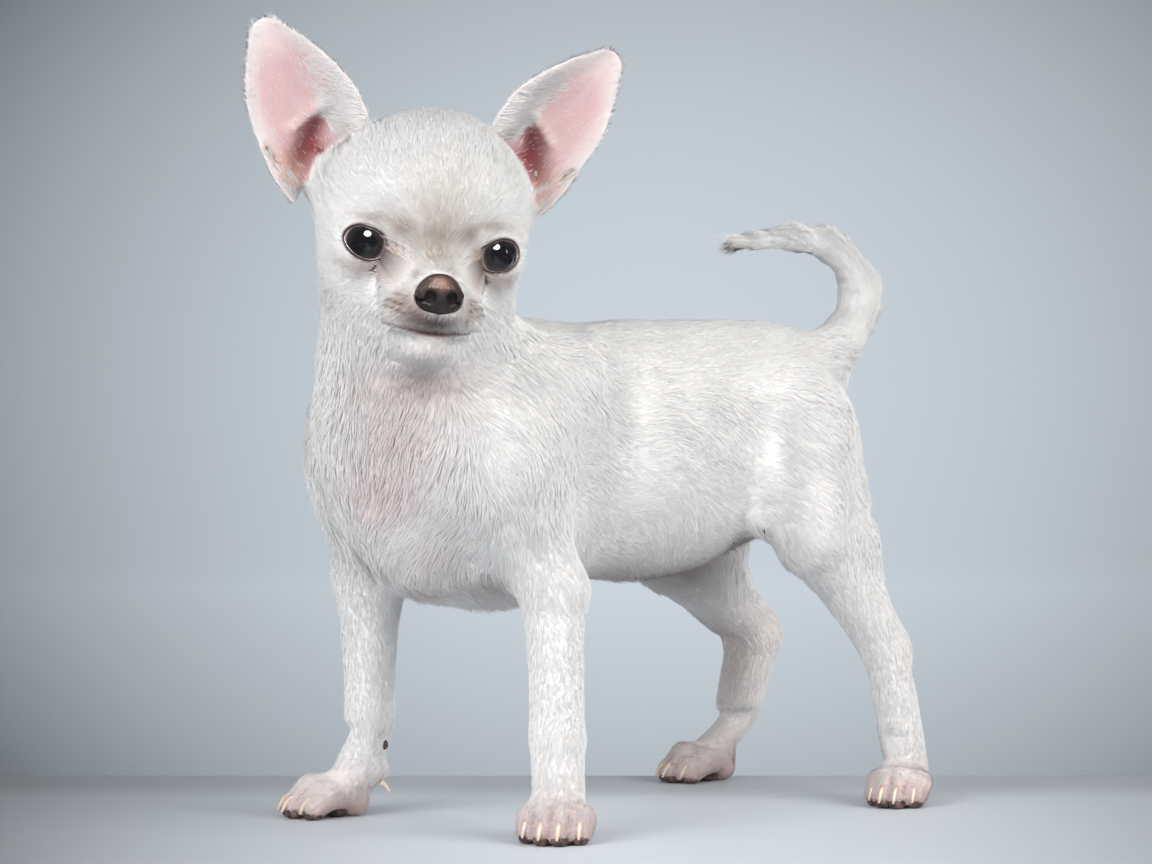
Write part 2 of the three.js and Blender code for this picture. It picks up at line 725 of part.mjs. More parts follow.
// A claw: a slim cone that bends down towards its tip.
function clawSolid(place, ahead, drop, length, radius) {
  const cone = new THREE.ConeGeometry(1, 1, 6, 3);
  const spot = cone.getAttribute('position');
  const forward = new THREE.Vector3(...ahead).normalize();
  const down = new THREE.Vector3(0, 0, -1).addScaledVector(forward, forward.z).normalize();
  const sideways = new THREE.Vector3().crossVectors(forward, down);
  for (let i = 0; i < spot.count; i += 1) {
    const along = spot.getY(i) + 0.5;
    const girth = radius * (along > 0.99 ? 0 : 1);
    const spread = girth * (1 - 0.25 * along);
    const corner = new THREE.Vector3(...place)
      .addScaledVector(forward, length * along)
      .addScaledVector(down, drop * along * along)
      .addScaledVector(sideways, spot.getX(i) * spread)
      .addScaledVector(down, spot.getZ(i) * spread * 1.2);
    spot.setXYZ(i, corner.x, corner.y, corner.z);
  }
  return solidOf(cone);
}

function addClaws(name, limb, pawAround) {
  toes(limb).forEach(({ claw, ahead }, i) => {
    addNode(`claw_${name}_${i + 1}`, clawSolid(claw, ahead, 2, 8.6, 1.35).subtract(pawAround), clawHorn);
  });
}

addHead();
addNode('neck', neckSolid(), coat);
addNode('torso', torsoSolid(), coat);
addTail();
Object.entries(limbs).forEach(([name, limb], i) => addLimb(name, limb, limbRegions[i]));

// The whole is set with the middle of its box over the origin.
const middle = new THREE.Box3().setFromObject(dog, true).getCenter(new THREE.Vector3());
dog.position.set(-middle.x, -middle.y, 0);

const root = new THREE.Group();
root.add(dog);

export default root;
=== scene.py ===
import json
import math
import time

import bmesh
import bpy
import numpy as np
from mathutils import Matrix, Vector
from mathutils.bvhtree import BVHTree
from mathutils.kdtree import KDTree


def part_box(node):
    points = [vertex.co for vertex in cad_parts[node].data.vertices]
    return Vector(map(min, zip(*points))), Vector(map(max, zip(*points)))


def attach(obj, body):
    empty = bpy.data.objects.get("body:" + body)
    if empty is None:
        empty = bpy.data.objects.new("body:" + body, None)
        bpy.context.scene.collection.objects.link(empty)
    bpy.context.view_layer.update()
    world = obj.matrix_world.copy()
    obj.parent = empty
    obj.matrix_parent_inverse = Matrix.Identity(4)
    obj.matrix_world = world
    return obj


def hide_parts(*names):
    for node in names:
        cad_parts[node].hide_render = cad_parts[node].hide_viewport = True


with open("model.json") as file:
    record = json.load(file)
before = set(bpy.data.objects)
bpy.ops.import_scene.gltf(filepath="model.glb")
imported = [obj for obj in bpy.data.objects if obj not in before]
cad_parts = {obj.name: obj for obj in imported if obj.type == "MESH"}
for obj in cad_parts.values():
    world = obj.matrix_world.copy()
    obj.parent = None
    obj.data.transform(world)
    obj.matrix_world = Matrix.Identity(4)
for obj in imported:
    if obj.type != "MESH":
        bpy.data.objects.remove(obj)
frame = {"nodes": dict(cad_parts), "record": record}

started = time.time()
mm = 0.001
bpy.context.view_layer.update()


def stage(words):
    print(f"{time.time() - started:6.1f} s  {words}", flush=True)


# Places. The dog's own frame is in millimetres: face to -Y, its left to +X, floor at 0.
head = {
    "place": (9.3, -90.7, 190.0),
    "yaw": 62.5,
    "nod": 6.0,
    "roll": 5.2,
    "eyeBoxMiddle": (32.671, -81.697, 180.246),
}
eye = {"place": (19.3, -17.2, -6.3), "turn": 13.0, "radius": 8.0, "opening": (6.8, 4.8), "slant": 0.16}
# How far from an eye's middle the skin may come: inside the lids' edge, at it, and by the distance from it
socket = {"open": 7.4, "edge": 8.44, "slope": 0.22, "curve": 0.085, "reach": 12}
ears = {
    1: {"node": "ear_left", "root": (23, 9, 20), "tip": (55, -1, 59)},
    -1: {"node": "ear_right", "root": (-27, 9, 15), "tip": (-56.5, -1, 57)},
}
limbs = {
    "fore_left": {
        "side": 1, "joints": [(28, -74, 112), (35, -59.5, 77), (38.8, -60.8, 31), (41.2, -62.4, 15)],
        "paw": (43.5, -64.5), "heading": (0.615, -0.79), "width": 25, "length": 28,
    },
    "fore_right": {
        "side": -1, "joints": [(-28, -84.5, 112), (-38, -76.5, 78), (-40.5, -74.5, 34), (-43, -76, 16)],
        "paw": (-49.2, -84.5), "heading": (-0.39, -0.92), "width": 25, "length": 31,
    },
    "hind_left": {
        "side": 1, "joints": [(25, 56, 126), (37, 50, 90), (43.3, 78.8, 51), (45.6, 84.6, 19)],
        "paw": (50, 79.6), "heading": (0.424, -0.905), "width": 22.5, "length": 30,
    },
    "hind_right": {
        "side": -1, "joints": [(-25, 56, 126), (-37, 53, 82), (-40, 96.2, 51), (-41.5, 88.4, 20)],
        "paw": (-42, 71.6), "heading": (-0.26, -0.964), "width": 22.5, "length": 30,
    },
}
tailLine = [
    (0, 86, 149), (0, 98.6, 154.4), (0, 107.4, 163), (0, 109.6, 173),
    (0, 105, 182.5), (0, 94, 189), (0, 78, 191.2), (0, 63, 190.2), (0, 50.8, 188.6),
]

eyeLow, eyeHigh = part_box("eye_left")
shift = np.array((eyeLow + eyeHigh) / 2) / mm - np.array(head["eyeBoxMiddle"])
turnHead = (
    Matrix.Rotation(math.radians(head["yaw"]), 3, "Z")
    @ Matrix.Rotation(math.radians(head["nod"]), 3, "X")
    @ Matrix.Rotation(math.radians(head["roll"]), 3, "Y")
)
headTurn = np.array(turnHead)


def dogPoint(spot):
    return Vector((np.array(spot, float) + shift) * mm)


def headPoint(spot):
    return dogPoint(np.array(head["place"]) + headTurn @ np.array(spot, float))


def inDog(points):
    return points / mm - shift


def inHead(points):
    return (inDog(points) - np.array(head["place"])) @ headTurn


def headSpot(place):
    return tuple(inHead(np.array([place]))[0])


def eyePoint(side, spot):
    turn = math.radians(side * eye["turn"])
    x, y, z = spot
    middle = eye["place"]
    return headPoint((
        side * middle[0] + x * math.cos(turn) - y * math.sin(turn),
        middle[1] + x * math.sin(turn) + y * math.cos(turn),
        middle[2] + z,
    ))


def between(a, b, share):
    return tuple(p + (q - p) * share for p, q in zip(a, b))


# Shader maths as plain expressions
class Wire:
    def __init__(self, paint, socket):
        self.paint = paint
        self.socket = socket

    def __add__(self, other):
        return self.paint.maths("ADD", self, other)

    def __sub__(self, other):
        return self.paint.maths("SUBTRACT", self, other)

    def __rsub__(self, other):
        return self.paint.maths("SUBTRACT", other, self)

    def __mul__(self, other):
        return self.paint.maths("MULTIPLY", self, other)

    def __truediv__(self, other):
        return self.paint.maths("DIVIDE", self, other)

    def ramp(self, low, high):
        settings = {"interpolation_type": "SMOOTHSTEP"}
        return self.paint.node("ShaderNodeMapRange", settings, self, low, high, 0.0, 1.0)


class Paint:
    def __init__(self, name, **fixed):
        self.material = bpy.data.materials.new(name)
        self.material.use_nodes = True
        self.tree = self.material.node_tree
        self.shader = self.tree.nodes["Principled BSDF"]
        for label, value in fixed.items():
            self.shader.inputs[label.replace("_", " ")].default_value = value

    def node(self, kind, settings, *values, out=0, **named):
        made = self.tree.nodes.new(kind)
        for label, value in settings.items():
            setattr(made, label, value)
        for place, value in list(enumerate(values)) + list(named.items()):
            socket = made.inputs[place]
            if isinstance(value, Wire):
                self.tree.links.new(value.socket, socket)
            elif value is not None:
                socket.default_value = value
        return Wire(self, made.outputs[out])

    def maths(self, operation, *values, **settings):
        return self.node("ShaderNodeMath", {"operation": operation, **settings}, *values)

    def vectors(self, operation, *values, out=0):
        return self.node("ShaderNodeVectorMath", {"operation": operation}, *values, out=out)

    def attribute(self, name, out="Color"):
        return self.node("ShaderNodeAttribute", {"attribute_name": name}, out=out)

    def spot(self):
        return self.node("ShaderNodeTexCoord", {}, out="Object")

    def place(self, stretch=(1, 1, 1)):
        return self.node("ShaderNodeMapping", {}, self.spot(), Scale=stretch)

    def noise(self, scale, detail=2.0, stretch=(1, 1, 1)):
        return self.node("ShaderNodeTexNoise", {}, Vector=self.place(stretch), Scale=scale, Detail=detail)

    def cells(self, scale):
        return self.node("ShaderNodeTexVoronoi", {}, Vector=self.place(), Scale=scale, out="Distance")

    def mix(self, factor, first, second, blend="MIX"):
        made = self.tree.nodes.new("ShaderNodeMix")
        made.data_type = "RGBA"
        made.blend_type = blend
        for place, value in ((0, factor), (6, first), (7, second)):
            if isinstance(value, Wire):
                self.tree.links.new(value.socket, made.inputs[place])
            elif place:
                made.inputs[place].default_value = (*value, 1.0)
            else:
                made.inputs[place].default_value = value
        return Wire(self, made.outputs[2])

    def shade(self, colour, factor):
        grey = self.node("ShaderNodeCombineColor", {}, factor, factor, factor)
        return self.mix(1.0, colour, grey, "MULTIPLY")

    def feed(self, label, wire):
        self.tree.links.new(wire.socket, self.shader.inputs[label])

    def bump(self, height, distance, strength=1.0):
        made = self.node("ShaderNodeBump", {}, Strength=strength, Distance=distance, Height=height)
        self.feed("Normal", made)


def skinFinish():
    paint = Paint(
        "skinFinish", Specular_IOR_Level=0.12, Subsurface_Weight=0.12, Subsurface_Radius=(1.0, 0.4, 0.25),
        Subsurface_Scale=0.0012,
    )
    mottle = paint.noise(900, 3.0) * 0.10 + 0.95
    paint.feed("Base Color", paint.shade(paint.attribute("tint"), mottle))
    wet = paint.attribute("wet", "Fac")
    paint.feed("Roughness", 0.62 - wet * 0.42)
    pores = paint.noise(2600, 2.0) * 0.6 + paint.noise(700, 2.0) * 0.4
    paint.bump(pores, 0.00012, 0.6)
    return paint.material


def coatFinish():
    paint = Paint("coatFinish", Roughness=0.85, Specular_IOR_Level=0.03)
    strand = paint.noise(1500, 1.0) * 0.08 + 0.96
    paint.feed("Base Color", paint.shade(paint.attribute("tint"), strand))
    return paint.material


def putIn(name, data):
    made = bpy.data.objects.new(name, data)
    bpy.context.scene.collection.objects.link(made)
    return made


def settled(holder):
    # The mesh with the holder's modifiers applied. The holder goes.
    made = bpy.data.meshes.new_from_object(holder.evaluated_get(bpy.context.evaluated_depsgraph_get()))
    bpy.data.objects.remove(holder)
    return made


def addPiece(name, mesh, finish, slotName, *replaced):
    piece = putIn(name, mesh)
    mesh.materials.clear()
    mesh.materials.append(finish)
    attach(piece, "root")
    if replaced:
        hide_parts(*replaced)
    return piece


def meshOf(bm, name):
    mesh = bpy.data.meshes.new(name)
    bm.to_mesh(mesh)
    bm.free()
    for face in mesh.polygons:
        face.use_smooth = True
    return mesh


# The skin: every flesh node swollen across the seams, joined in one closed surface, then shaped
skin = {"swell": 0.35 * mm, "voxel": 0.55 * mm, "triangles": 188000}
rounds = {"body": 110, "face": 9, "paws": 10, "tail": 9, "wrists": 110, "crest": 380, "creases": 600}
fleshNodes = [p["node"] for p in frame["record"]["subparts"] if p["material_slot"] in ("coat", "ear_skin")]


def joinFlesh():
    bm = bmesh.new()
    for name in fleshNodes:
        bm.from_mesh(frame["nodes"][name].data)
    bmesh.ops.remove_doubles(bm, verts=bm.verts, dist=0.002 * mm)
    bm.normal_update()
    for v in bm.verts:
        v.co += v.normal * skin["swell"]
    flesh = putIn("fleshDraft", meshOf(bm, "fleshDraft"))
    blend = flesh.modifiers.new("join", "REMESH")
    blend.mode = "VOXEL"
    blend.voxel_size = skin["voxel"]
    return settled(flesh)


def read(items, label, width, kind=np.float32):
    values = np.empty(len(items) * width, kind)
    items.foreach_get(label, values)
    return values.reshape(-1, width) if width > 1 else values


def placesOf(mesh):
    return read(mesh.vertices, "co", 3).astype(float)


def eased(mesh, passes):
    # Each pass is how much every point gives way, from 0 to 1, and the number of rounds.
    holder = putIn("easing", mesh)
    for number, (share, rounds) in enumerate(passes):
        group = holder.vertex_groups.new(name=f"share{number}")
        levels = np.round(np.clip(share, 0, 1) * 10).astype(int)
        for level in range(1, 11):
            group.add(np.flatnonzero(levels == level).tolist(), level / 10, "REPLACE")
        easing = holder.modifiers.new("ease", "SMOOTH")
        easing.vertex_group = group.name
        easing.factor = 0.5
        easing.iterations = rounds
    return settled(holder)


def bell(gap, width):
    return np.exp(-((gap / width) ** 2))


def toward(tint, colour, weight):
    return tint + (np.array(colour) - tint) * weight[:, None]


def lineGap(points, line):
    best = np.full(len(points), 1e9)
    for a, b in zip(line[:-1], line[1:]):
        a, b = np.array(a, float), np.array(b, float)
        way = b - a
        share = np.clip(((points - a) @ way) / max(way @ way, 1e-9), 0, 1)
        best = np.minimum(best, np.linalg.norm(points - a - share[:, None] * way, axis=1))
    return best


# How the coat lies. Each guide is a length of the body: where it runs, its thickness, the way the hair is
# combed there (None runs away from the nose), the hair's length and width, roots to a square millimetre,
# lift in degrees, and the coat's depth. Those of the head are in its own frame.
def pair(name, start, end, thick, comb, *rest, other=None):
    # The same guide on both sides. The dog stands uneven, so some run elsewhere on its right.
    def mirrored(spot):
        return spot and (-spot[0], *spot[1:])

    right = other or (mirrored(start), mirrored(end))
    return {
        name + "Left": (start, end, thick, comb, *rest),
        name + "Right": (*right, thick, mirrored(comb), *rest),
    }


headGuides = {
    "muzzle": ((0, -26, -24), (0, -36, -24), 11, None, 1.8, 0.19, 8.8, 14, 0.35),
    "bridge": ((0, -22, -12), (0, -34, -14), 6, None, 1.9, 0.20, 8.4, 11, 0.3),
    "chin": ((0, -24, -33), (0, -30, -34), 6.5, None, 2.6, 0.20, 7.0, 18, 0.45),
    **pair("face", (17, -14, -15), (15, -18, -8), 12, None, 3.0, 0.23, 6.4, 12, 0.4),
    "brow": ((-14, -22, 6), (14, -22, 6), 8, None, 2.6, 0.22, 7.2, 12, 0.35),
    "crown": ((0, -8, 10), (0, 10, 8), 26, None, 3.8, 0.26, 5.2, 12, 0.6),
    "earBaseLeft": ((31, 3, 8), (29, 4, 20), 5, (0.6, -0.3, 0.8), 5.6, 0.24, 7.0, 20, 0.5),
    "earBaseRight": ((-32, 3, 6), (-31, 4, 18), 5, (-0.6, -0.3, 0.8), 6.6, 0.24, 7.0, 22, 0.5),
    **pair("jowl", (22, 3, -12), (18, -2, -22), 13, None, 4.0, 0.25, 4.8, 13, 0.8),
    "throat": ((0, -14, -34), (0, 0, -36), 9, None, 3.8, 0.24, 4.8, 15, 0.8),
}
bodyGuides = {
    "nape": ((10, -74, 170), (0, -50, 155), 22, (0, 0.86, -0.5), 5.5, 0.3, 3.0, 12, 1.1),
    "neckFront": ((4, -98, 160), (0, -98, 138), 24, (0.0, -0.1, -1), 5.2, 0.3, 3.2, 13, 1.1),
    **pair("neck", (24, -84, 160), (22, -74, 140), 14, (0.1, 0.5, -0.86), 5.2, 0.3, 3.0, 12, 1.1,
           other=((-18, -88, 160), (-22, -78, 140))),
    **pair("chest", (16, -100, 128), (14, -98, 92), 15, (-0.55, -0.1, -0.84), 6.4, 0.32, 3.0, 14, 1.2,
           other=((-18, -104, 128), (-16, -101, 92))),
    "brisket": ((0, -86, 82), (0, -40, 80), 14, (0, 0.85, -0.3), 5.4, 0.3, 2.8, 16, 1.0),
    "back": ((0, -40, 142), (0, 80, 140), 22, (0, 1, -0.06), 5.0, 0.31, 2.7, 7.5, 1.1),
    **pair("ribs", (24, -50, 118), (24, 25, 116), 14, (0.05, 0.94, -0.34), 5.2, 0.31, 2.7, 8, 1.1),
    **pair("belly", (16, -25, 92), (14, 40, 98), 12, (-0.2, 0.75, -0.6), 4.2, 0.26, 1.9, 13, 0.8),
    "rump": ((0, 80, 140), (0, 92, 128), 16, (0, 0.35, -0.94), 5.4, 0.31, 2.8, 9, 1.1),
    **pair("blade", (24, -56, 144), (32, -70, 114), 15, (0.1, 0.45, -0.89), 5.0, 0.3, 2.9, 9, 1.1,
           other=((-24, -62, 144), (-32, -80, 114))),
    **pair("thigh", (26, 56, 124), (36, 52, 92), 18, (0.05, 0.5, -0.86), 4.6, 0.3, 2.9, 9, 1.0,
           other=((-26, 56, 124), (-36, 54, 88))),
    **pair("ham", (20, 76, 118), (38, 76, 84), 12, (0.05, 0.1, -1), 4.8, 0.3, 3.0, 9, 1.0,
           other=((-20, 76, 118), (-36, 76, 80))),
}


def addLimbGuides():
    for name, limb in limbs.items():
        _, bend, ankle, foot = limb["joints"]
        down = tuple(np.subtract(ankle, bend)) if name.startswith("hind") else (0, 0.15, -1)
        toes = (*limb["paw"], 7)
        bodyGuides[name + "Upper"] = (bend, ankle, 10, down, 3.0, 0.24, 4.0, 9, 0.75)
        bodyGuides[name + "Lower"] = (ankle, foot, 8, (0, -0.05, -1), 2.6, 0.22, 4.6, 9, 0.6)
        bodyGuides[name + "Paw"] = (foot, toes, 8, (*limb["heading"], -0.35), 2.0, 0.19, 6.6, 12, 0.4)


def addTailGuides():
    radii = (9, 7.5, 6.6, 5.8, 4.8, 4, 3, 1.7)
    for i, (a, b) in enumerate(zip(tailLine[:-1], tailLine[1:])):
        comb = tuple(np.subtract(b, a))
        bodyGuides[f"tail{i}"] = (a, b, radii[i], comb, 5.0 + 0.35 * i, 0.27, 5.0 + 0.8 * i, 9, 0.15)


def nearGuides(points):
    # Blends the guides by how near each one's surface is.
    spots = {True: inHead(points), False: inDog(points)}
    best = np.full(len(points), 1e9)
    gaps = []
    for guides, isHead in ((headGuides, True), (bodyGuides, False)):
        for guide in guides.values():
            gap = lineGap(spots[isHead], guide[:2]) - guide[2]
            gaps.append(gap)
            best = np.minimum(best, gap)
    total = np.zeros(len(points))
    sums = np.zeros((len(points), 8))
    away = spots[True] - np.array((0.0, -43.0, -15.0))
    away /= np.linalg.norm(away, axis=1)[:, None]
    away = away @ headTurn.T
    order = [(g, True) for g in headGuides.values()] + [(g, False) for g in bodyGuides.values()]
    for gap, (guide, isHead) in zip(gaps, order):
        weight = np.exp(-(gap - best) / 3.2)
        comb = away if guide[3] is None else np.array(guide[3], float) / np.linalg.norm(guide[3])
        if isHead and guide[3] is not None:
            comb = headTurn @ comb
        sums[:, 0:3] += weight[:, None] * comb
        for place, value in enumerate(guide[4:9]):
            sums[:, 3 + place] += weight * value
        total += weight
    return sums / total[:, None]


def earPlaces(side):
    ear = ears[side]
    root, tip = np.array(ear["root"], float), np.array(ear["tip"], float)
    axis = tip - root
    length = np.linalg.norm(axis)
    up = axis / length
    way = np.array((side * 0.34, -0.94, 0.0))
    way -= (way @ up) * up
    way /= np.linalg.norm(way)
    return root, up, np.cross(way, up), way, length


def onEar(points, side):
    # Along the ear from root to tip, across it, and out of its cup, in millimetres but for the first.
    root, up, across, way, length = earPlaces(side)
    rest = inHead(points) - root
    return (rest @ up) / length, rest @ across, rest @ way


def shareOfEars(points):
    share = np.zeros(len(points))
    near = np.linalg.norm(inHead(points) * (1, 1, 0.6), axis=1) < 90
    for side, ear in ears.items():
        tree = nodeTrees[ear["node"]]
        along, _, _ = onEar(points, side)
        for i in np.flatnonzero(near & (along > -0.1) & (np.sign(inHead(points)[:, 0]) == side)):
            gap = tree.find_nearest(points[i], 3 * mm)[3]
            if gap is not None:
                share[i] = max(share[i], 1 - gap / (3 * mm))
    return np.clip(share * 1.6, 0, 1)


def earSpot(side, along, lateral):
    # The place on the ear's open side, in the head's frame, that far up it and out to its outer edge.
    root, up, across, way, length = earPlaces(side)
    start = root + up * along * length - across * side * lateral + way * 40
    way = Vector(headTurn @ -way)
    best = None
    for name in (ears[side]["node"], "head"):
        hit = nodeTrees[name].ray_cast(headPoint(start), way)
        if hit[0] is not None and (best is None or hit[3] < best[3]):
            best = hit
    return headSpot(best[0] if best else headPoint(start))


nodeTrees = {
    name: BVHTree.FromObject(frame["nodes"][name], bpy.context.evaluated_depsgraph_get())
    for name in ("head", "ear_left", "ear_right", "nose")
}


def noseGap(points):
    gap = np.full(len(points), 9.0)
    for i in np.flatnonzero(np.linalg.norm(inHead(points) - (0, -41, -18), axis=1) < 16):
        near = nodeTrees["nose"].find_nearest(points[i], 9 * mm)[3]
        gap[i] = 9.0 if near is None else near / mm
    return gap


# The lids' edge: a pointed oval seen along the eye's own line, a little higher at its outer corner
def lidEdge(turn):
    wide, high = eye["opening"]
    x = wide * np.cos(turn)
    z = high * np.sign(np.sin(turn)) * np.abs(np.sin(turn)) ** 1.2 + eye["slant"] * x
    return x, z


def fromEye(points, side):
    turn = math.radians(side * eye["turn"])
    rest = inHead(points) - (side * eye["place"][0], *eye["place"][1:])
    x = rest[:, 0] * math.cos(turn) + rest[:, 1] * math.sin(turn)
    y = -rest[:, 0] * math.sin(turn) + rest[:, 1] * math.cos(turn)
    return np.stack([side * x, y, rest[:, 2]], 1)


def lidGap(points, side):
    # How far outside the lids' edge, measured round the eyeball, and how far from its middle.
    rest = fromEye(points, side)
    away = np.linalg.norm(rest, axis=1)
    turned = np.arccos(np.clip(-rest[:, 1] / away, -1, 1))
    x, z = lidEdge(np.linspace(-np.pi, np.pi, 181))
    edge = np.interp(np.arctan2(rest[:, 2], rest[:, 0]), np.arctan2(z, x), np.hypot(x, z), period=2 * np.pi)
    return (turned - np.arcsin(edge / eye["radius"])) * eye["radius"], away


addLimbGuides()
addTailGuides()
draft = joinFlesh()
stage(f"flesh joined: {len(draft.vertices)} points")

points = placesOf(draft)
guided = nearGuides(points)
stage("guides read")
earShare = shareOfEars(points)
stage("ears found")
spots, dog = inHead(points), inDog(points)
lidFar = np.ones(len(points))
for side in (1, -1):
    gap, away = lidGap(points, side)
    lidFar = np.minimum(lidFar, np.clip((gap - 1.5) / 4, 0.12, 1) + (away > 16))
inFace = np.clip((-spots[:, 1] - 4) / 14, 0, 1) * (np.linalg.norm(spots, axis=1) < 56)
pawShare = np.clip((24 - dog[:, 2]) / 8, 0, 1)
tailShare = np.clip((dog[:, 2] - 156) / 8, 0, 1) * (dog[:, 1] > 20)
fine = np.maximum(np.maximum(inFace, earShare), np.maximum(pawShare, tailShare))
crest = bell(dog[:, 2] - 142 - 0.504 * (dog[:, 1] + 68), 13)
crest *= np.clip((-62 - dog[:, 1]) / 14, 0, 1) * np.clip((152 - dog[:, 2]) / 10, 0, 1)
wrists = np.zeros(len(points))
for limb in limbs.values():
    for joint in limb["joints"][2:]:
        wrists = np.maximum(wrists, bell(np.linalg.norm(dog - joint, axis=1), 11))
draft = eased(draft, [
    (1 - fine, rounds["body"]),
    (np.maximum(inFace * np.clip(lidFar, 0, 1), earShare * 0.9), rounds["face"]),
    (pawShare, rounds["paws"]),
    (tailShare, rounds["tail"]),
    (wrists, rounds["wrists"]),
    (crest * (1 - inFace), rounds["crest"]),
])
points = placesOf(draft)
stage("skin eased")


def normalsOf(mesh, places):
    mesh.vertices.foreach_set("co", places.astype(np.float32).ravel())
    mesh.update()
    return read(mesh.vertex_normals, "vector", 3).astype(float)


# The creases at the wrists, hocks and paws are filled, without thinning the limbs.
normals = normalsOf(draft, points)
filled = placesOf(eased(draft, [(wrists, rounds["creases"])]))
points += normals * np.maximum(((filled - points) * normals).sum(1), 0)[:, None]
normals = normalsOf(draft, points)
noseFar = np.clip(noseGap(points) / 3.0, 0.1, 1)
depth = guided[:, 7] * (1 - earShare) * mm * np.clip(lidFar + 0.15, 0.2, 1)
depth += skin["swell"] * (1 - 0.5 * earShare)
points -= normals * (depth * noseFar)[:, None]
for side in (1, -1):
    gap, away = lidGap(points, side)
    rise = np.clip(gap, 0, socket["reach"])
    outside = socket["edge"] + socket["slope"] * rise + socket["curve"] * rise ** 2
    limit = np.where(gap < 0.4, socket["open"], outside)
    limit += np.clip((away - 12) / 9, 0, 1) ** 2 * 12 * np.clip((gap - 2.5) / 4, 0, 1)
    front = (gap < 10) & (away < 21)
    middle = np.array(eyePoint(side, (0, 0, 0)))
    points[front] = middle + (points[front] - middle) * np.minimum(limit[front] / away[front], 1)[:, None]
normals = normalsOf(draft, points)


# Strokes press the skin in or raise it along a line: points, width, height, in millimetres
def ring(side, out, start, end, high):
    spots = []
    for degrees in range(start, end + 1, 12):
        x, z = lidEdge(math.radians(degrees))
        grow = 1 + out / math.hypot(x, z)
        x, z = x * grow, z * grow
        forward = -math.sqrt(max(0.0, high ** 2 - x * x - z * z))
        spots.append(headSpot(eyePoint(side, (side * x, forward, z))))
    return spots


def mouthLine():
    inside = headPoint((0, -14, -30.3))
    spots = []
    for i in range(25):
        turn = 1.13 * (i / 12 - 1)
        rise = 0.02 + 0.10 * (abs(turn) / 1.13) ** 3 - 0.03 * math.exp(-((turn / 0.25) ** 2))
        way = turnHead @ Vector((math.sin(turn), -math.cos(turn), rise)).normalized()
        spots.append(headSpot(nodeTrees["head"].ray_cast(inside, way)[0] or inside))
    return spots


mouth = mouthLine()
strokes = []
earStrokes = []
for side in (1, -1):
    strokes += [
        (ring(side, 2.4, 20, 160, 9.4), 0.7, -0.3),
        (ring(side, 4.2, 25, 150, 10.6), 1.4, 0.35),
        (ring(side, 2.4, 205, 335, 9.4), 0.7, -0.2),
        ([(side * 11.2, -24.5, -9.0), (side * 9.4, -29.5, -15.0)], 1.3, -0.4),
        ([(side * 3.6, -38.5, -24.5), (side * 8.5, -37.5, -27.4)], 1.8, 0.25),
    ]
    for line, width, height in (
        ([(0.33, 6), (0.355, 0), (0.37, -6.5)], 1.8, 1.4),
        ([(0.27, -1), (0.22, 4), (0.12, 10.5)], 3.2, -1.7),
        ([(0.22, 14.6), (0.31, 15.4)], 0.8, -0.8),
        ([(0.10, 2), (0.15, 4)], 1.4, -0.8),
        ([(0.44, 5), (0.62, 3.4), (0.82, 1.6)], 1.6, 0.35),
        ([(0.44, -3), (0.6, -2.4), (0.78, -1)], 1.6, 0.3),
        ([(0.08, 13), (0.16, 14.5)], 2.0, 0.5),
    ):
        earStrokes.append(([earSpot(side, *spot) for spot in line], width, height))
strokes += [
    ([(0, -34, -7), (0, -30, 4), (0, -27, 14)], 2.4, -0.35),
    (mouth, 0.6, -1.3),
    ([(x, y - 0.4, z + 1.7) for x, y, z in mouth[2:-2]], 1.1, 0.3),
    ([(x, y - 0.2, z - 1.8) for x, y, z in mouth[4:-4]], 1.2, 0.25),
    ([(0, -43, -24.5), (0, -41.5, -28)], 0.5, -0.8),
]


def applyStrokes(places, ways):
    spots = inHead(places)
    near = np.linalg.norm(spots + np.array((0, 20, 8.0)), axis=1) < 48
    for line, width, height in strokes:
        gap = lineGap(spots[near], line)
        places[near] += ways[near] * (bell(gap, width) * height * mm)[:, None]
    for number, (line, width, height) in enumerate(earStrokes):
        side = 1 if number < len(earStrokes) / 2 else -1
        near = (np.abs(spots - np.array((side * 40, 0, 35))) < (34, 30, 44)).all(1)
        facing = np.clip((ways[near] @ (headTurn @ earPlaces(side)[3])) * 2, 0, 1)
        gap = lineGap(spots[near], line)
        places[near] += ways[near] * (bell(gap, width) * height * mm * facing)[:, None]


applyStrokes(points, normals)


# The toes, knuckle by knuckle, as the paws are built
def toesOf(limb):
    (px, py), (hx, hy) = limb["paw"], limb["heading"]
    pitch, front = (limb["width"] - 9) / 3, limb["length"] / 2
    made = []
    for step in (-1.5, -0.5, 0.5, 1.5):
        inner = abs(step) < 1

        def spot(lateral, ahead, height):
            a, l = ahead * front, lateral * step * pitch
            return (px + hx * a - hy * l, py + hy * a + hx * l, height)

        made.append({
            "root": spot(0.7, -0.15, 7.6),
            "knuckle": spot(0.96, 0.34 if inner else 0.12, 9.2 if inner else 7.8),
            "tip": spot(1.02, 0.72 if inner else 0.42, 4),
            "claw": spot(1.02, 0.72 if inner else 0.42, 6.4),
            "ahead": (hx - hy * step * 0.08, hy + hx * step * 0.08),
        })
    return made


def pawClefts():
    lines = []
    for limb in limbs.values():
        hx, hy = limb["heading"]
        made = toesOf(limb)
        for one, other in zip(made[:-1], made[1:]):
            root = np.array(between(one["root"], other["root"], 0.5)) + (0, 0, 4.0)
            knuckle = np.array(between(one["knuckle"], other["knuckle"], 0.5)) + (hx, hy, 3.2)
            tip = np.array(between(one["tip"], other["tip"], 0.5)) + (hx * 3.4, hy * 3.4, 2.2)
            low = np.array(between(one["tip"], other["tip"], 0.5)) + (hx * 3.2, hy * 3.2, -3.0)
            lines.append([tuple(root), tuple(knuckle), tuple(tip), tuple(low)])
    return lines


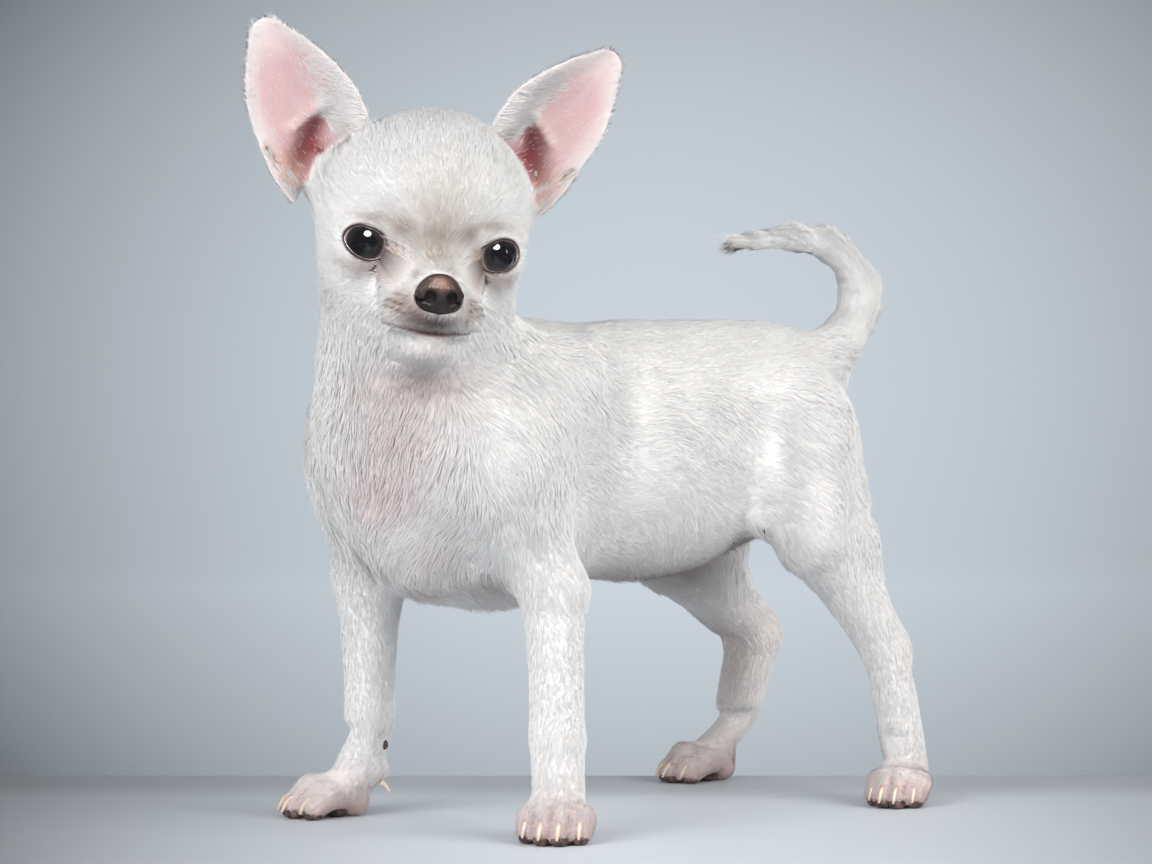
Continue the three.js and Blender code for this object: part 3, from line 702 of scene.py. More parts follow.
clefts = pawClefts()
low = inDog(points)[:, 2] < 20
for line in clefts:
    gap = lineGap(inDog(points[low]), line)
    points[low] -= normals[low] * (bell(gap, 1.1) * 0.9 * mm)[:, None]
points[:, 2] = np.maximum(points[:, 2], 0.05 * mm)
normals = normalsOf(draft, points)
stage("skin shaped")


def thinned(mesh):
    holder = putIn("skinDraft", mesh)
    thin = holder.modifiers.new("thin", "DECIMATE")
    thin.ratio = skin["triangles"] / (2 * len(mesh.polygons))
    holder.modifiers.new("cut", "TRIANGULATE")
    return settled(holder)


skinMesh = thinned(draft)
stage(f"skin thinned: {len(skinMesh.polygons)} faces")

# Colours. A mark is a soft spot of another colour, and some body marks are painted shade: frame, middle,
# size, skin colour, coat colour, strength
tones = {
    "skin": (0.87, 0.825, 0.805),
    "coat": (0.955, 0.948, 0.935),
    "earHair": (0.955, 0.925, 0.915),
    "earEdge": (0.84, 0.74, 0.73),
    "earSkin": (0.68, 0.455, 0.46),
}
headMarks = [
    ((-2, -36, 2.5), (9, 8, 8), (0.66, 0.56, 0.48), (0.70, 0.625, 0.555), 0.8),
    ((-1, -33, 12), (8, 8, 9), (0.78, 0.70, 0.63), (0.885, 0.84, 0.785), 0.65),
    ((-1.0, -35, -5.5), (7, 8, 5.6), (0.48, 0.38, 0.31), (0.47, 0.38, 0.315), 0.85),
    ((0, -38, -11.5), (3.5, 5, 2.2), (0.80, 0.74, 0.68), (0.93, 0.90, 0.86), 0.5),
    ((-6.8, -38, -13.6), (1.8, 2.5, 1.5), (0.30, 0.22, 0.19), (0.34, 0.25, 0.21), 0.7),
    ((3.5, -41, -11.6), (3.0, 3.0, 1.4), (0.40, 0.31, 0.26), (0.46, 0.37, 0.31), 0.55),
    ((-10, -38.5, -22.5), (5.6, 6, 5.0), (0.42, 0.29, 0.25), (0.44, 0.32, 0.27), 0.85),
    ((9.6, -38.5, -22), (4.6, 6, 4.4), (0.40, 0.30, 0.26), (0.42, 0.33, 0.29), 0.8),
    ((0, -42, -27.2), (8.5, 5, 3.4), (0.09, 0.055, 0.055), (0.10, 0.067, 0.066), 0.97),
    ((0, -39, -30.4), (8, 5, 1.5), (0.09, 0.045, 0.045), (0.11, 0.06, 0.06), 0.9),
    ((-5.5, -41, -25), (3.5, 4, 3.5), (0.20, 0.11, 0.10), (0.22, 0.13, 0.125), 0.7),
    ((1, -39, -37), (9, 8, 4), (0.70, 0.62, 0.57), (0.83, 0.79, 0.75), 0.5),
    ((11.7, -30, -15), (3.5, 4, 3.5), (0.82, 0.72, 0.60), (0.90, 0.83, 0.73), 0.7),
    ((-12.8, -29, -9.5), (2.6, 7, 4.2), (0.60, 0.33, 0.23), (0.66, 0.42, 0.32), 0.95),
    ((12.3, -29.5, -8.6), (2.5, 7, 4.0), (0.42, 0.21, 0.14), (0.44, 0.25, 0.175), 0.95),
    ((-14.8, -27.4, -13), (2.8, 7, 2.8), (0.72, 0.50, 0.46), (0.80, 0.60, 0.55), 0.75),
    ((14.8, -27.4, -12.6), (2.4, 7, 2.6), (0.60, 0.40, 0.32), (0.66, 0.47, 0.38), 0.75),
    ((-19.0, -28, 1.0), (8.5, 8, 2.1), (0.46, 0.36, 0.32), (0.54, 0.45, 0.41), 0.85),
    ((17.0, -29, 1.9), (8.5, 8, 2.1), (0.46, 0.36, 0.32), (0.53, 0.44, 0.39), 0.85),
    ((-16.5, -31.2, 4.9), (2.6, 3, 0.8), (0.22, 0.17, 0.16), (0.30, 0.25, 0.23), 0.6),
    ((-10.5, -32, -1.5), (3.2, 7, 3.0), (0.38, 0.26, 0.21), (0.40, 0.295, 0.25), 0.9),
    ((8.5, -33.5, -1.5), (3.2, 7, 3.0), (0.36, 0.24, 0.20), (0.37, 0.27, 0.225), 0.9),
]
for side in (1, -1):
    headMarks.append(((side * 20, -23, -13.3), (8, 8, 2.4), (0.50, 0.39, 0.37), (0.60, 0.50, 0.48), 0.8))
    for row, (out, up) in enumerate(((0, 0), (0.6, -2.4), (-0.4, -4.8))):
        for step in range(4):
            spot = (side * (9.5 + out + step * 1.7), -40.3 + step * 1.3 + row * 0.3, -20.2 + up + step * 0.5)
            headMarks.append((spot, (0.62, 3.0, 0.6), (0.08, 0.05, 0.045), (0.09, 0.06, 0.055), 0.95))
bodyMarksAndShade = [
    # Pink skin at the throat, darkened as painted shade under the head
    ((22, -104, 141), (22, 15, 7), (0.76, 0.52, 0.50), (0.76, 0.62, 0.595), 0.8),
    ((17, -106, 125), (15, 14, 11), (0.78, 0.57, 0.57), (0.80, 0.685, 0.675), 0.8),
    ((9, -108, 108), (15, 12, 9), (0.84, 0.58, 0.58), (0.93, 0.765, 0.765), 0.8),
    ((17, -92, 88), (8, 10, 8), (0.82, 0.62, 0.60), (0.92, 0.84, 0.82), 0.6),
    # Pinkish skin behind the elbow and under the chest, greyed as painted shade on the underside
    ((20, -74, 78), (9, 10, 5), (0.50, 0.42, 0.42), (0.62, 0.56, 0.56), 0.8),
    ((1, -90, 74), (9, 9, 9), (0.60, 0.46, 0.45), (0.70, 0.61, 0.60), 0.7),
    # Grey-brown bare belly and groin, darkened further as painted shade under the body and in the groin
    ((0, 20, 74), (22, 50, 12), (0.15, 0.10, 0.09), (0.18, 0.14, 0.13), 1.0),
    ((-10, 46, 88), (26, 24, 24), (0.20, 0.12, 0.11), (0.20, 0.125, 0.115), 0.9),
    # Pinkish skin under the chest, greyed as painted shade on the underside
    ((0, -30, 72), (18, 30, 8), (0.55, 0.42, 0.40), (0.72, 0.64, 0.62), 0.7),
    # The right hind leg darker, painted shade where the body shades it
    ((-38, 80, 46), (10, 12, 24), (0.46, 0.32, 0.30), (0.54, 0.43, 0.415), 0.6),
    ((-40, 98, 56), (9, 9, 12), (0.72, 0.42, 0.40), (0.80, 0.60, 0.58), 0.6),
    ((43, 82, 52), (8, 8, 12), (0.78, 0.56, 0.52), (0.90, 0.82, 0.79), 0.4),
    ((0, 48, 190), (10, 8, 10), (0.86, 0.78, 0.70), (0.93, 0.895, 0.84), 0.8),
]
for limb in limbs.values():
    x, y = limb["paw"]
    bodyMarksAndShade.append(((x, y, 1), (22, 22, 11), (0.52, 0.29, 0.275), (0.53, 0.355, 0.34), 0.92))


def spotWeight(spots, middle, size):
    return np.exp(-(((spots - np.array(middle)) / np.array(size)) ** 2).sum(1))


def tintAt(places, kind):
    # The same marks and painted shade colour the skin and the coat over it.
    column = 2 if kind == "skin" else 3
    tint = np.tile(np.array(tones[kind], float), (len(places), 1))
    for spots, marks in ((inDog(places), bodyMarksAndShade), (inHead(places), headMarks)):
        for mark in marks:
            tint = toward(tint, mark[column], np.clip(spotWeight(spots, *mark[:2]) * mark[4], 0, 1))
    return tint


skinMesh.materials.clear()
skinPoints = placesOf(skinMesh)
skinNormals = read(skinMesh.vertex_normals, "vector", 3).astype(float)
skinEars = shareOfEars(skinPoints)
headSpots = inHead(skinPoints)
tint = tintAt(skinPoints, "skin")
innerEar = np.zeros(len(skinPoints))
earRim = np.zeros(len(skinPoints))
earMedial = np.zeros(len(skinPoints))
earMarksAndShade = [
    # The canal and the pit at its base are deeper pink, darkened as painted shade in those hollows; the fold
    # at the outer edge is brown painted shade
    ([(0.31, 3), (0.24, 4), (0.12, 10.5)], 5.0, (0.40, 0.165, 0.165), 0.9),
    ([(0.30, 0), (0.24, 3), (0.15, 8)], 3.0, (0.22, 0.055, 0.065), 0.8),
    ([(0.10, 1.5), (0.17, 4)], 2.0, (0.30, 0.05, 0.05), 0.85),
    ([(0.21, 14.6), (0.32, 15.6)], 1.1, (0.24, 0.15, 0.08), 0.85),
    ([(0.36, 7), (0.42, 1), (0.42, -5)], 3.0, (0.84, 0.63, 0.61), 0.5),
    ([(0.10, 13), (0.2, 13)], 3.0, (0.78, 0.46, 0.36), 0.55),
]
for side in (1, -1):
    way = headTurn @ earPlaces(side)[3]
    here = (skinEars > 0.05) & (np.sign(headSpots[:, 0]) == side)
    along, across, _ = onEar(skinPoints[here], side)
    lateral = -side * across
    steps = np.clip((along * 24).astype(int), 0, 23)
    low = np.array([lateral[steps == n].min() if (steps == n).any() else -3 for n in range(24)])
    high = np.array([lateral[steps == n].max() if (steps == n).any() else 3 for n in range(24)])
    where = along * 24 - 0.5
    low, high = (np.interp(where, range(24), edge) for edge in (low, high))
    inward = np.minimum(lateral - low, high - lateral)
    opened = skinEars[here] * np.clip((skinNormals[here] @ way) * 2.2, 0, 1)
    innerEar[here] = opened
    earRim[here] = bell(inward, 3.0)
    earMedial[here] = np.clip((-lateral - 2.0) / 7, 0, 1) * np.clip((0.9 - along) / 0.3, 0, 1)
    pink = np.clip((inward - 0.8) / 5.0, 0, 1) * np.clip((1.0 - along) / 0.3, 0, 1)
    tone = np.array(tones["earEdge"]) + pink[:, None] * (np.array(tones["earSkin"]) - tones["earEdge"])
    flat = np.stack([along * earPlaces(side)[4], lateral, np.zeros(len(along))], 1)
    for line, width, colour, strength in earMarksAndShade:
        gap = lineGap(flat, [(v * earPlaces(side)[4], out, 0) for v, out in line])
        tone = toward(tone, colour, bell(gap, width) * strength)
    tint[here] = toward(tint[here], tone, opened)
lips = bell(lineGap(headSpots, mouth[5:-5]), 1.25)
smile = bell(lineGap(headSpots, mouth), 0.7)
tint = toward(tint, (0.10, 0.045, 0.045), np.clip(np.maximum(lips, smile * 0.9) * 1.1, 0, 1))
for side in (1, -1):
    gap, away = lidGap(skinPoints, side)
    rim = bell(np.maximum(gap - 0.3, 0), 0.7) * (away < 13)
    tint = toward(tint, (0.10, 0.065, 0.06), rim * 0.9)
# Pink skin between the toes, darkened as painted shade in the clefts
for line in clefts:
    gap = bell(lineGap(inDog(skinPoints), line), 1.4)
    tint = toward(tint, (0.42, 0.20, 0.18), gap * 0.75)


def paintPoints(mesh, colours, wetness=None):
    layer = mesh.color_attributes.new("tint", "FLOAT_COLOR", "POINT")
    whole = np.hstack([colours, np.ones((len(colours), 1))])
    layer.data.foreach_set("color", whole.astype(np.float32).ravel())
    if wetness is not None:
        sheen = mesh.attributes.new("wet", "FLOAT", "POINT")
        sheen.data.foreach_set("value", wetness.astype(np.float32))


paintPoints(skinMesh, tint, lips * 0.7)
skinMesh.shade_smooth()
skinPiece = addPiece("skin", skinMesh, skinFinish(), "coat", *fleshNodes)
stage("skin painted")


def unwrapSkin():
    bpy.context.view_layer.objects.active = skinPiece
    skinPiece.select_set(True)
    skinMesh.uv_layers.new(name="OFBake")
    bpy.ops.object.mode_set(mode="EDIT")
    bpy.ops.mesh.select_all(action="SELECT")
    bpy.ops.uv.smart_project(angle_limit=math.radians(66), island_margin=0.002)
    bpy.ops.object.mode_set(mode="OBJECT")
    skinPiece.select_set(False)


unwrapSkin()
stage("skin unwrapped")

# The coat: slim closed tufts, rooted in the skin and laid along the guides
coat = {"seed": 7, "triangles": 1420000, "quick": 0.35, "perPiece": 190000, "sink": 0.12 * mm, "lock": 13}
coatMaterial = coatFinish()
rng = np.random.default_rng(coat["seed"])


def waves(places, scale, seed):
    # A smooth wandering value from a few crossed waves.
    turn = np.random.default_rng(seed)
    total = np.zeros(len(places))
    for _ in range(7):
        way = turn.normal(size=3)
        way /= np.linalg.norm(way)
        total += np.sin(places @ way * (scale * turn.uniform(0.6, 1.7)) + turn.uniform(0, 6.28))
    return total / 7 ** 0.5


def rootsOfCoat():
    corners = read(skinMesh.loops, "vertex_index", 1, np.int32).reshape(-1, 3)
    uv = read(skinMesh.uv_layers["OFBake"].uv, "vector", 2).astype(float).reshape(-1, 3, 2)
    a, b, c = (skinPoints[corners[:, i]] for i in range(3))
    area = np.linalg.norm(np.cross(b - a, c - a), axis=1) / 2 / mm ** 2
    middle = (a + b + c) / 3
    guide = nearGuides(middle)
    shares = np.stack([values[corners].mean(1) for values in (skinEars, innerEar, earRim, earMedial)], 1)
    ear, inner, edge, medial = shares.T
    density = guide[:, 5] * (1 - ear) + ear * (4.5 * (1 - inner) + (0.3 + 4.5 * edge + 5.0 * medial) * inner)
    spots = inHead(middle)
    for side in (1, -1):
        gap, away = lidGap(middle, side)
        density *= np.where(away < 16, np.clip((gap - 0.5) / 0.9, 0, 1), 1)
    density *= np.clip(noseGap(middle) / 0.7, 0.05, 1)
    density *= np.clip((lineGap(spots, mouth) - 0.5) / 1.0, 0, 1)
    dog = inDog(middle)
    bare = spotWeight(dog, (0, 26, 74), (17, 42, 11))
    density *= 1 - 0.8 * np.clip(bare * 1.2, 0, 1)
    density *= np.clip(dog[:, 2] / 2.0, 0, 1) ** 1.5
    chance = area * density
    count = int(coat["triangles"] / 4 * (1))
    stage(f"coat wants {chance.sum():.0f} tufts, has {count}")
    pick = rng.choice(len(area), count, p=chance / chance.sum())
    u, v = rng.random(count), rng.random(count)
    turned = u + v > 1
    u[turned], v[turned] = 1 - u[turned], 1 - v[turned]
    w = 1 - u - v

    def blend(values):
        return values[:, 0] * w[:, None] + values[:, 1] * u[:, None] + values[:, 2] * v[:, None]

    roots = blend(np.stack([a[pick], b[pick], c[pick]], 1))
    ways = blend(np.stack([skinNormals[corners[pick, i]] for i in range(3)], 1))
    ways /= np.linalg.norm(ways, axis=1)[:, None]
    return roots, ways, blend(uv[pick]), shares[pick].T


def locksOf(roots):
    # Each tuft belongs to the lock round the nearest of a few chosen tufts.
    hearts = np.arange(len(roots) // coat["lock"])
    tree = KDTree(len(hearts))
    for number in hearts:
        tree.insert(roots[number], number)
    tree.balance()
    return np.array([tree.find(root)[1] for root in roots])


def layCoat():
    roots, ways, spots, (ear, inner, edge, medial) = rootsOfCoat()
    guide = nearGuides(roots)
    comb = guide[:, :3].copy()
    length, width, lift = guide[:, 3], guide[:, 4], guide[:, 6]
    fringe = np.zeros(len(roots))
    for side in (1, -1):
        here = (ear > 0.2) & (np.sign(inHead(roots)[:, 0]) == side)
        _, up, across, way, _ = earPlaces(side)
        along, sideways, _ = onEar(roots, side)
        inside = medial * inner
        fringe = np.where(here, inside * np.clip((0.5 - along) / 0.2, 0, 1), fringe)
        outward = np.outer(np.where(-side * sideways < 0, -0.5, 0.5), -side * across)
        local = up + outward * (1 - 0.5 * inner[:, None])
        inwards = -side * across * 0.9 + up * 0.6 + way * 0.25
        local = local * (1 - inside[:, None]) + inside[:, None] * inwards
        comb[here] = comb[here] * (1 - ear[here, None]) + (local[here] @ headTurn.T) * ear[here, None]
    length = length * (1 - ear) + ear * (2.2 * (1 - inner) + (2.2 + medial) * inner) + fringe * 3.6
    width = width * (1 - ear) + ear * 0.17
    lift = lift * (1 - ear) + ear * 13 + fringe * 12
    dog = inDog(roots)
    sideways = np.cross(ways, comb)
    swirl = 0.36 * waves(dog, 0.14, 3) + 0.16 * waves(dog, 0.5, 5)
    calm = np.where(np.linalg.norm(inHead(roots), axis=1) < 46, 0.35, 1.0) * (1 - 0.6 * ear)
    comb += sideways * (swirl * calm + rng.normal(0, 0.12, len(roots)))[:, None]
    comb -= ways * (comb * ways).sum(1)[:, None]
    comb /= np.linalg.norm(comb, axis=1)[:, None] + 1e-9
    size = rng.uniform(0.75, 1.2, len(roots)) * (1 + 0.1 * waves(dog, 0.35, 9))
    length = length * size * mm
    width = width * rng.uniform(0.75, 1.2, len(roots)) * mm
    rise = np.radians(lift * rng.uniform(0.55, 1.5, len(roots)) * (1 + 0.3 * waves(dog, 0.25, 11)))
    rise = np.maximum(rise, 0.24 * mm / length)
    forward = comb * np.cos(rise)[:, None] + ways * np.sin(rise)[:, None]
    lock = locksOf(roots)
    tip = roots + forward * length[:, None]
    pull = np.clip(1.3 - np.linalg.norm(roots[lock] - roots, axis=1) / (2.6 * mm), 0, 1)
    pull *= np.clip((ways[lock] * ways).sum(1) * 4 - 3, 0, 1) * np.where(dog[:, 1] < -62, 0.32, 0.2)
    tip += (tip[lock] - tip) * pull[:, None]
    side = np.cross(ways, comb)
    base = roots - ways * coat["sink"]
    corners = np.stack([
        base - side * (width / 2)[:, None],
        base + side * (width / 2)[:, None],
        base + (tip - base) * 0.38 + ways * (width * 0.3 + 0.04 * mm)[:, None],
        tip,
    ], 1)
    grain = np.where(dog[:, 2] > 150, 0.045, 0.026)
    lockTone = 1 + rng.normal(0, 0.024, len(roots))[lock]
    lockTone *= 1 - np.abs(rng.normal(0, 1, len(roots))) * grain
    shell = tintAt(roots, "coat")
    earTone = toward(np.array(tones["coat"]), tones["earHair"], inner)
    shell = toward(shell, earTone, ear)
    shell *= lockTone[:, None]
    under = tintAt(roots, "skin")
    # Tuft roots take in the skin's tint and are a little darker, painted shade between the hairs
    rootTintAndShade = shell * 0.60 + under * 0.34
    colours = np.stack([rootTintAndShade, rootTintAndShade, rootTintAndShade * 0.3 + shell * 0.7, shell], 1)
    bent = np.stack([ways - side * 0.8, ways + side * 0.8, ways, ways + forward * 0.25], 1)
    onTail = np.clip((dog[:, 2] - 160) / 10, 0, 1) * (dog[:, 1] > 20)
    bent += onTail[:, None, None] * (np.array((0.25, -0.15, 0.75)))
    bent /= np.linalg.norm(bent, axis=2)[:, :, None]
    corners[:, :, 2] = np.maximum(corners[:, :, 2], 0.02 * mm)
    offsets = np.array([(-0.0015, -0.0015), (0.0015, -0.0015), (0, 0), (0, 0.0015)])
    return corners, colours, bent, spots[:, None, :] + offsets, dog


faceOrder = np.array([(0, 1, 3), (1, 2, 3), (2, 0, 3), (0, 2, 1)])


def buildCoat(name, corners, colours, bent, spots):
    count = len(corners)
    mesh = bpy.data.meshes.new(name)
    mesh.vertices.add(count * 4)
    mesh.vertices.foreach_set("co", corners.astype(np.float32).ravel())
    faces = (np.arange(count)[:, None, None] * 4 + faceOrder).reshape(-1, 3)
    mesh.loops.add(len(faces) * 3)
    mesh.loops.foreach_set("vertex_index", faces.ravel().astype(np.int32))
    mesh.polygons.add(len(faces))
    mesh.polygons.foreach_set("loop_start", np.arange(0, len(faces) * 3, 3, dtype=np.int32))
    mesh.polygons.foreach_set("loop_total", np.full(len(faces), 3, np.int32))
    mesh.update(calc_edges=True)
    layer = mesh.uv_layers.new(name="OFBake")
    layer.uv.foreach_set("vector", spots.reshape(-1, 2)[faces.ravel()].astype(np.float32).ravel())
    paintPoints(mesh, np.clip(colours.reshape(-1, 3), 0, 1))
    mesh.shade_smooth()
    mesh.normals_split_custom_set_from_vertices(bent.reshape(-1, 3).astype(np.float32))
    return addPiece(name, mesh, coatMaterial, "coat")


def growCoat():
    corners, colours, bent, spots, dog = layCoat()
    stage(f"coat laid: {len(corners)} tufts")
    order = np.argsort(dog[:, 1] + (dog[:, 2] > 165) * (dog[:, 1] < -20) * -400, kind="stable")
    share = coat["perPiece"] // 4
    for number, start in enumerate(range(0, len(order), share)):
        pick = order[start:start + share]
        buildCoat(f"coat_{number + 1}", corners[pick], colours[pick], bent[pick], spots[pick])


growCoat()
stage("coat grown")


# The eyes, with lids of their own between the eyeball and the skin
def eyeFinish(side):
    paint = Paint(f"eyeFinish_{side}", Roughness=0.03, Specular_IOR_Level=0.55)
    middle = eyePoint(side, (0, 0, 0))
    away = paint.vectors("SUBTRACT", paint.spot(), tuple(middle))
    look = (eyePoint(side, (side * 0.08, -1, 0.02)) - middle).normalized()
    along = paint.vectors("DOT_PRODUCT", away, tuple(look), out="Value")
    turn = paint.maths("ARCCOSINE", along / paint.vectors("LENGTH", away, out="Value"))
    white = paint.mix(paint.noise(1400, 3.0).ramp(0.40, 0.65), (0.40, 0.33, 0.33), (0.30, 0.19, 0.19))
    iris = paint.mix(paint.noise(2400, 2.0), (0.012, 0.009, 0.010), (0.026, 0.017, 0.016))
    pupil = paint.mix(turn.ramp(0.46, 0.62), (0.0015, 0.0015, 0.003), iris)
    ringed = paint.mix(turn.ramp(0.70, 0.76), pupil, (0.045, 0.040, 0.045))
    paint.feed("Base Color", paint.mix(turn.ramp(0.78, 0.85), ringed, white))
    return paint.material


# The cornea bulges from the eyeball inside that angle
cornea = {"middle": 2.9, "bulge": 0.75, "edge": 0.62}


def addEye(side):
    radius = eye["radius"]
    bm = bmesh.new()
    spots = []
    for i in range(41):
        turn = math.pi - (math.pi - cornea["edge"]) * i / 40
        spots.append((radius * math.sin(turn), radius * math.cos(turn)))
    dome = radius - cornea["middle"] + cornea["bulge"]
    first = math.asin(min(1.0, radius * math.sin(cornea["edge"]) / dome))
    for i in range(1, 13):
        turn = first * (1 - i / 12)
        spots.append((dome * math.sin(turn), cornea["middle"] + dome * math.cos(turn)))
    line = [bm.verts.new((x * mm, -y * mm, 0)) for x, y in spots]
    for a, b in zip(line[:-1], line[1:]):
        bm.edges.new((a, b))
    bmesh.ops.spin(
        bm, geom=bm.verts[:] + bm.edges[:], cent=(0, 0, 0), axis=(0, 1, 0), angle=2 * math.pi, steps=56,
        use_merge=True,
    )
    bmesh.ops.remove_doubles(bm, verts=bm.verts, dist=0.01 * mm)
    bmesh.ops.recalc_face_normals(bm, faces=bm.faces)
    turn = Matrix.Rotation(math.radians(side * eye["turn"]), 4, "Z")
    place = Matrix.Translation(eyePoint(side, (0, 0, 0))) @ turnHead.to_4x4() @ turn
    bmesh.ops.transform(bm, matrix=place, verts=bm.verts)
    name = "left" if side > 0 else "right"
    addPiece(f"eyeball_{name}", meshOf(bm, f"eyeball_{name}"), eyeFinish(side), "eye", f"eye_{name}")


def lidFinish():
    paint = Paint("lidFinish", Specular_IOR_Level=0.6)
    paint.feed("Base Color", paint.attribute("tint"))
    paint.feed("Roughness", 0.6 - paint.attribute("wet", "Fac") * 0.5)
    paint.bump(paint.noise(2200, 2.0), 0.0001, 0.5)
    return paint.material


# Across the lid from under its edge to under the skin: out from the edge and from the eye's middle in
# millimetres, colour, wetness
lidProfile = [
    (-0.12, 7.6, (0.10, 0.06, 0.06), 1.0), (-0.16, 8.06, (0.34, 0.25, 0.25), 1.0),
    (-0.06, 8.20, (0.07, 0.045, 0.045), 0.9), (0.10, 8.33, (0.026, 0.018, 0.018), 0.7),
    (0.34, 8.42, (0.024, 0.017, 0.016), 0.45), (0.70, 8.44, (0.04, 0.028, 0.026), 0.2),
    (1.2, 8.35, (0.12, 0.08, 0.075), 0.0), (1.9, 8.0, (0.3, 0.2, 0.2), 0.0), (2.3, 7.5, (0.3, 0.2, 0.2), 0.0),
    (1.4, 7.1, (0.3, 0.2, 0.2), 0.0),
]


def addLids(side):
    bm = bmesh.new()
    steps = 120
    loops = []
    for out, high, _, _ in lidProfile:
        loop = []
        for turn in np.linspace(0, 2 * math.pi, steps, endpoint=False):
            x, z = lidEdge(turn)
            reach = math.hypot(x, z)
            tilt = math.asin(reach / eye["radius"]) + out / eye["radius"]
            heavy = 0.12 * math.sin(turn) if 0 < out < 1 else 0
            way = (side * math.sin(tilt) * x / reach, -math.cos(tilt), math.sin(tilt) * z / reach)
            loop.append(bm.verts.new(eyePoint(side, (high + heavy) * np.array(way))))
        loops.append([bm.edges.new((a, b)) for a, b in zip(loop, loop[1:] + loop[:1])])
    for near, far in zip(loops, loops[1:] + loops[:1]):
        bmesh.ops.bridge_loops(bm, edges=near + far)
    bmesh.ops.recalc_face_normals(bm, faces=bm.faces)
    name = "left" if side > 0 else "right"
    inner = -eye["opening"][0]
    low = Matrix.Translation(eyePoint(side, (side * (inner + 0.35), -3.9, eye["slant"] * inner)))
    size = Matrix.Diagonal((1.0 * mm, 1.2 * mm, 0.8 * mm, 1))
    bmesh.ops.create_icosphere(bm, subdivisions=3, radius=1.0, matrix=low @ turnHead.to_4x4() @ size)
    mesh = meshOf(bm, f"lids_{name}")
    colours = np.array([colour for _, _, colour, _ in lidProfile for _ in range(steps)])
    wetness = np.array([damp for *_, damp in lidProfile for _ in range(steps)])
    extra = len(mesh.vertices) - len(colours)
    colours = np.vstack([colours, np.tile((0.36, 0.20, 0.19), (extra, 1))])
    paintPoints(mesh, colours, np.concatenate([wetness, np.ones(extra)]))
    addPiece(f"lids_{name}", mesh, lidFinish(), "nose_leather")


for side in (1, -1):
    addEye(side)
    addLids(side)


# The nose
def noseFinish():
    paint = Paint("noseFinish", Specular_IOR_Level=0.38)
    grain = paint.cells(1900.0)
    mottle = paint.noise(700, 3.0) * 0.5 + 0.72
    paint.feed("Base Color", paint.shade(paint.attribute("tint"), mottle))
    paint.feed("Roughness", grain * 0.3 + 0.28 + paint.attribute("wet", "Fac") * 0.5)
    paint.bump(1 - grain, 0.0002, 0.7)
    return paint.material


def addNose():
    bm = bmesh.new()
    bm.from_mesh(frame["nodes"]["nose"].data)
    bmesh.ops.remove_doubles(bm, verts=bm.verts, dist=0.002 * mm)
    rough = putIn("noseDraft", meshOf(bm, "noseDraft"))
    blend = rough.modifiers.new("even", "REMESH")
    blend.mode = "VOXEL"
    blend.voxel_size = 0.2 * mm
    easing = rough.modifiers.new("ease", "SMOOTH")
    easing.factor = 0.5
    easing.iterations = 26
    mesh = settled(rough)
    places = placesOf(mesh)
    ways = normalsOf(mesh, places)
    spots = inHead(places)
    pit = np.zeros(len(spots))
    for side in (1, -1):
        hole = [(side * 3.5, -45.6, -19.3), (side * 3.8, -45.2, -20.3)]
        slit = [(side * 4.0, -45.2, -20.3), (side * 6.2, -43.4, -21.0), (side * 7.8, -41, -20.4)]
        wing = [(side * 2.6, -46, -16.6), (side * 5.0, -45.0, -16.4), (side * 7.0, -43, -18)]
        for line, width, height in ((hole, 1.5, -1.9), (slit, 0.7, -0.9), (wing, 1.2, 0.45)):
            press = bell(lineGap(spots, line), width)
            places += ways * (press * height * mm)[:, None]
            pit = np.maximum(pit, press * (height < -0.5))
    groove = lineGap(spots, [(0, -47, -19), (0, -46.6, -21), (0, -45, -25)])
    places -= ways * (bell(groove, 0.45) * 0.4 * mm)[:, None]
    normalsOf(mesh, places)
    tone = np.tile((0.030, 0.018, 0.017), (len(spots), 1))
    for middle, size, colour, strength in (
        ((-0.6, -45, -15.0), (3.2, 4, 1.8), (0.26, 0.095, 0.05), 0.95),
        ((-5.5, -43, -17.5), (3.0, 4, 3.0), (0.09, 0.05, 0.05), 0.6),
        ((0, -44, -22.5), (6, 5, 3.4), (0.020, 0.013, 0.013), 0.95),
    ):
        tone = toward(tone, colour, spotWeight(spots, middle, size) * strength)
    # The pressed nostrils near black, painted shade in those pits
    tone = toward(tone, (0.004, 0.002, 0.002), np.clip(pit * 1.7, 0, 1))
    paintPoints(mesh, tone, np.clip(pit * 1.5, 0, 1))
    mesh.shade_smooth()
    addPiece("noseLeather", mesh, noseFinish(), "nose_leather", "nose")


addNose()
stage("eyes and nose set")


# Claws, pads and whiskers
def taper(bm, spots, radii, sides):
    way = (Vector(spots[1]) - Vector(spots[0])).normalized()
    turn = way.to_track_quat("Z", "Y").to_matrix().to_4x4()
    made = bmesh.ops.create_circle(
        bm, cap_ends=True, segments=sides, radius=radii[0], matrix=Matrix.Translation(spots[0]) @ turn,
    )["verts"]
    face = next(f for v in made for f in v.link_faces if set(f.verts) == set(made))
    for i in range(1, len(spots)):
        grown = bmesh.ops.extrude_face_region(bm, geom=[face])["geom"]
        if i > 1:
            bmesh.ops.delete(bm, geom=[face], context="FACES_ONLY")
        face = next(g for g in grown if isinstance(g, bmesh.types.BMFace))
        ahead = Vector(spots[min(i + 1, len(spots) - 1)]) - Vector(spots[i - 1])
        following = ahead.normalized().to_track_quat("Z", "Y").to_matrix().to_4x4()
        middle = sum((v.co for v in face.verts), Vector()) / len(face.verts)
        change = following @ turn.inverted()
        size = radii[i] / radii[i - 1]
        for v in face.verts:
            v.co = Vector(spots[i]) + (change @ (v.co - middle)) * size
        turn = following


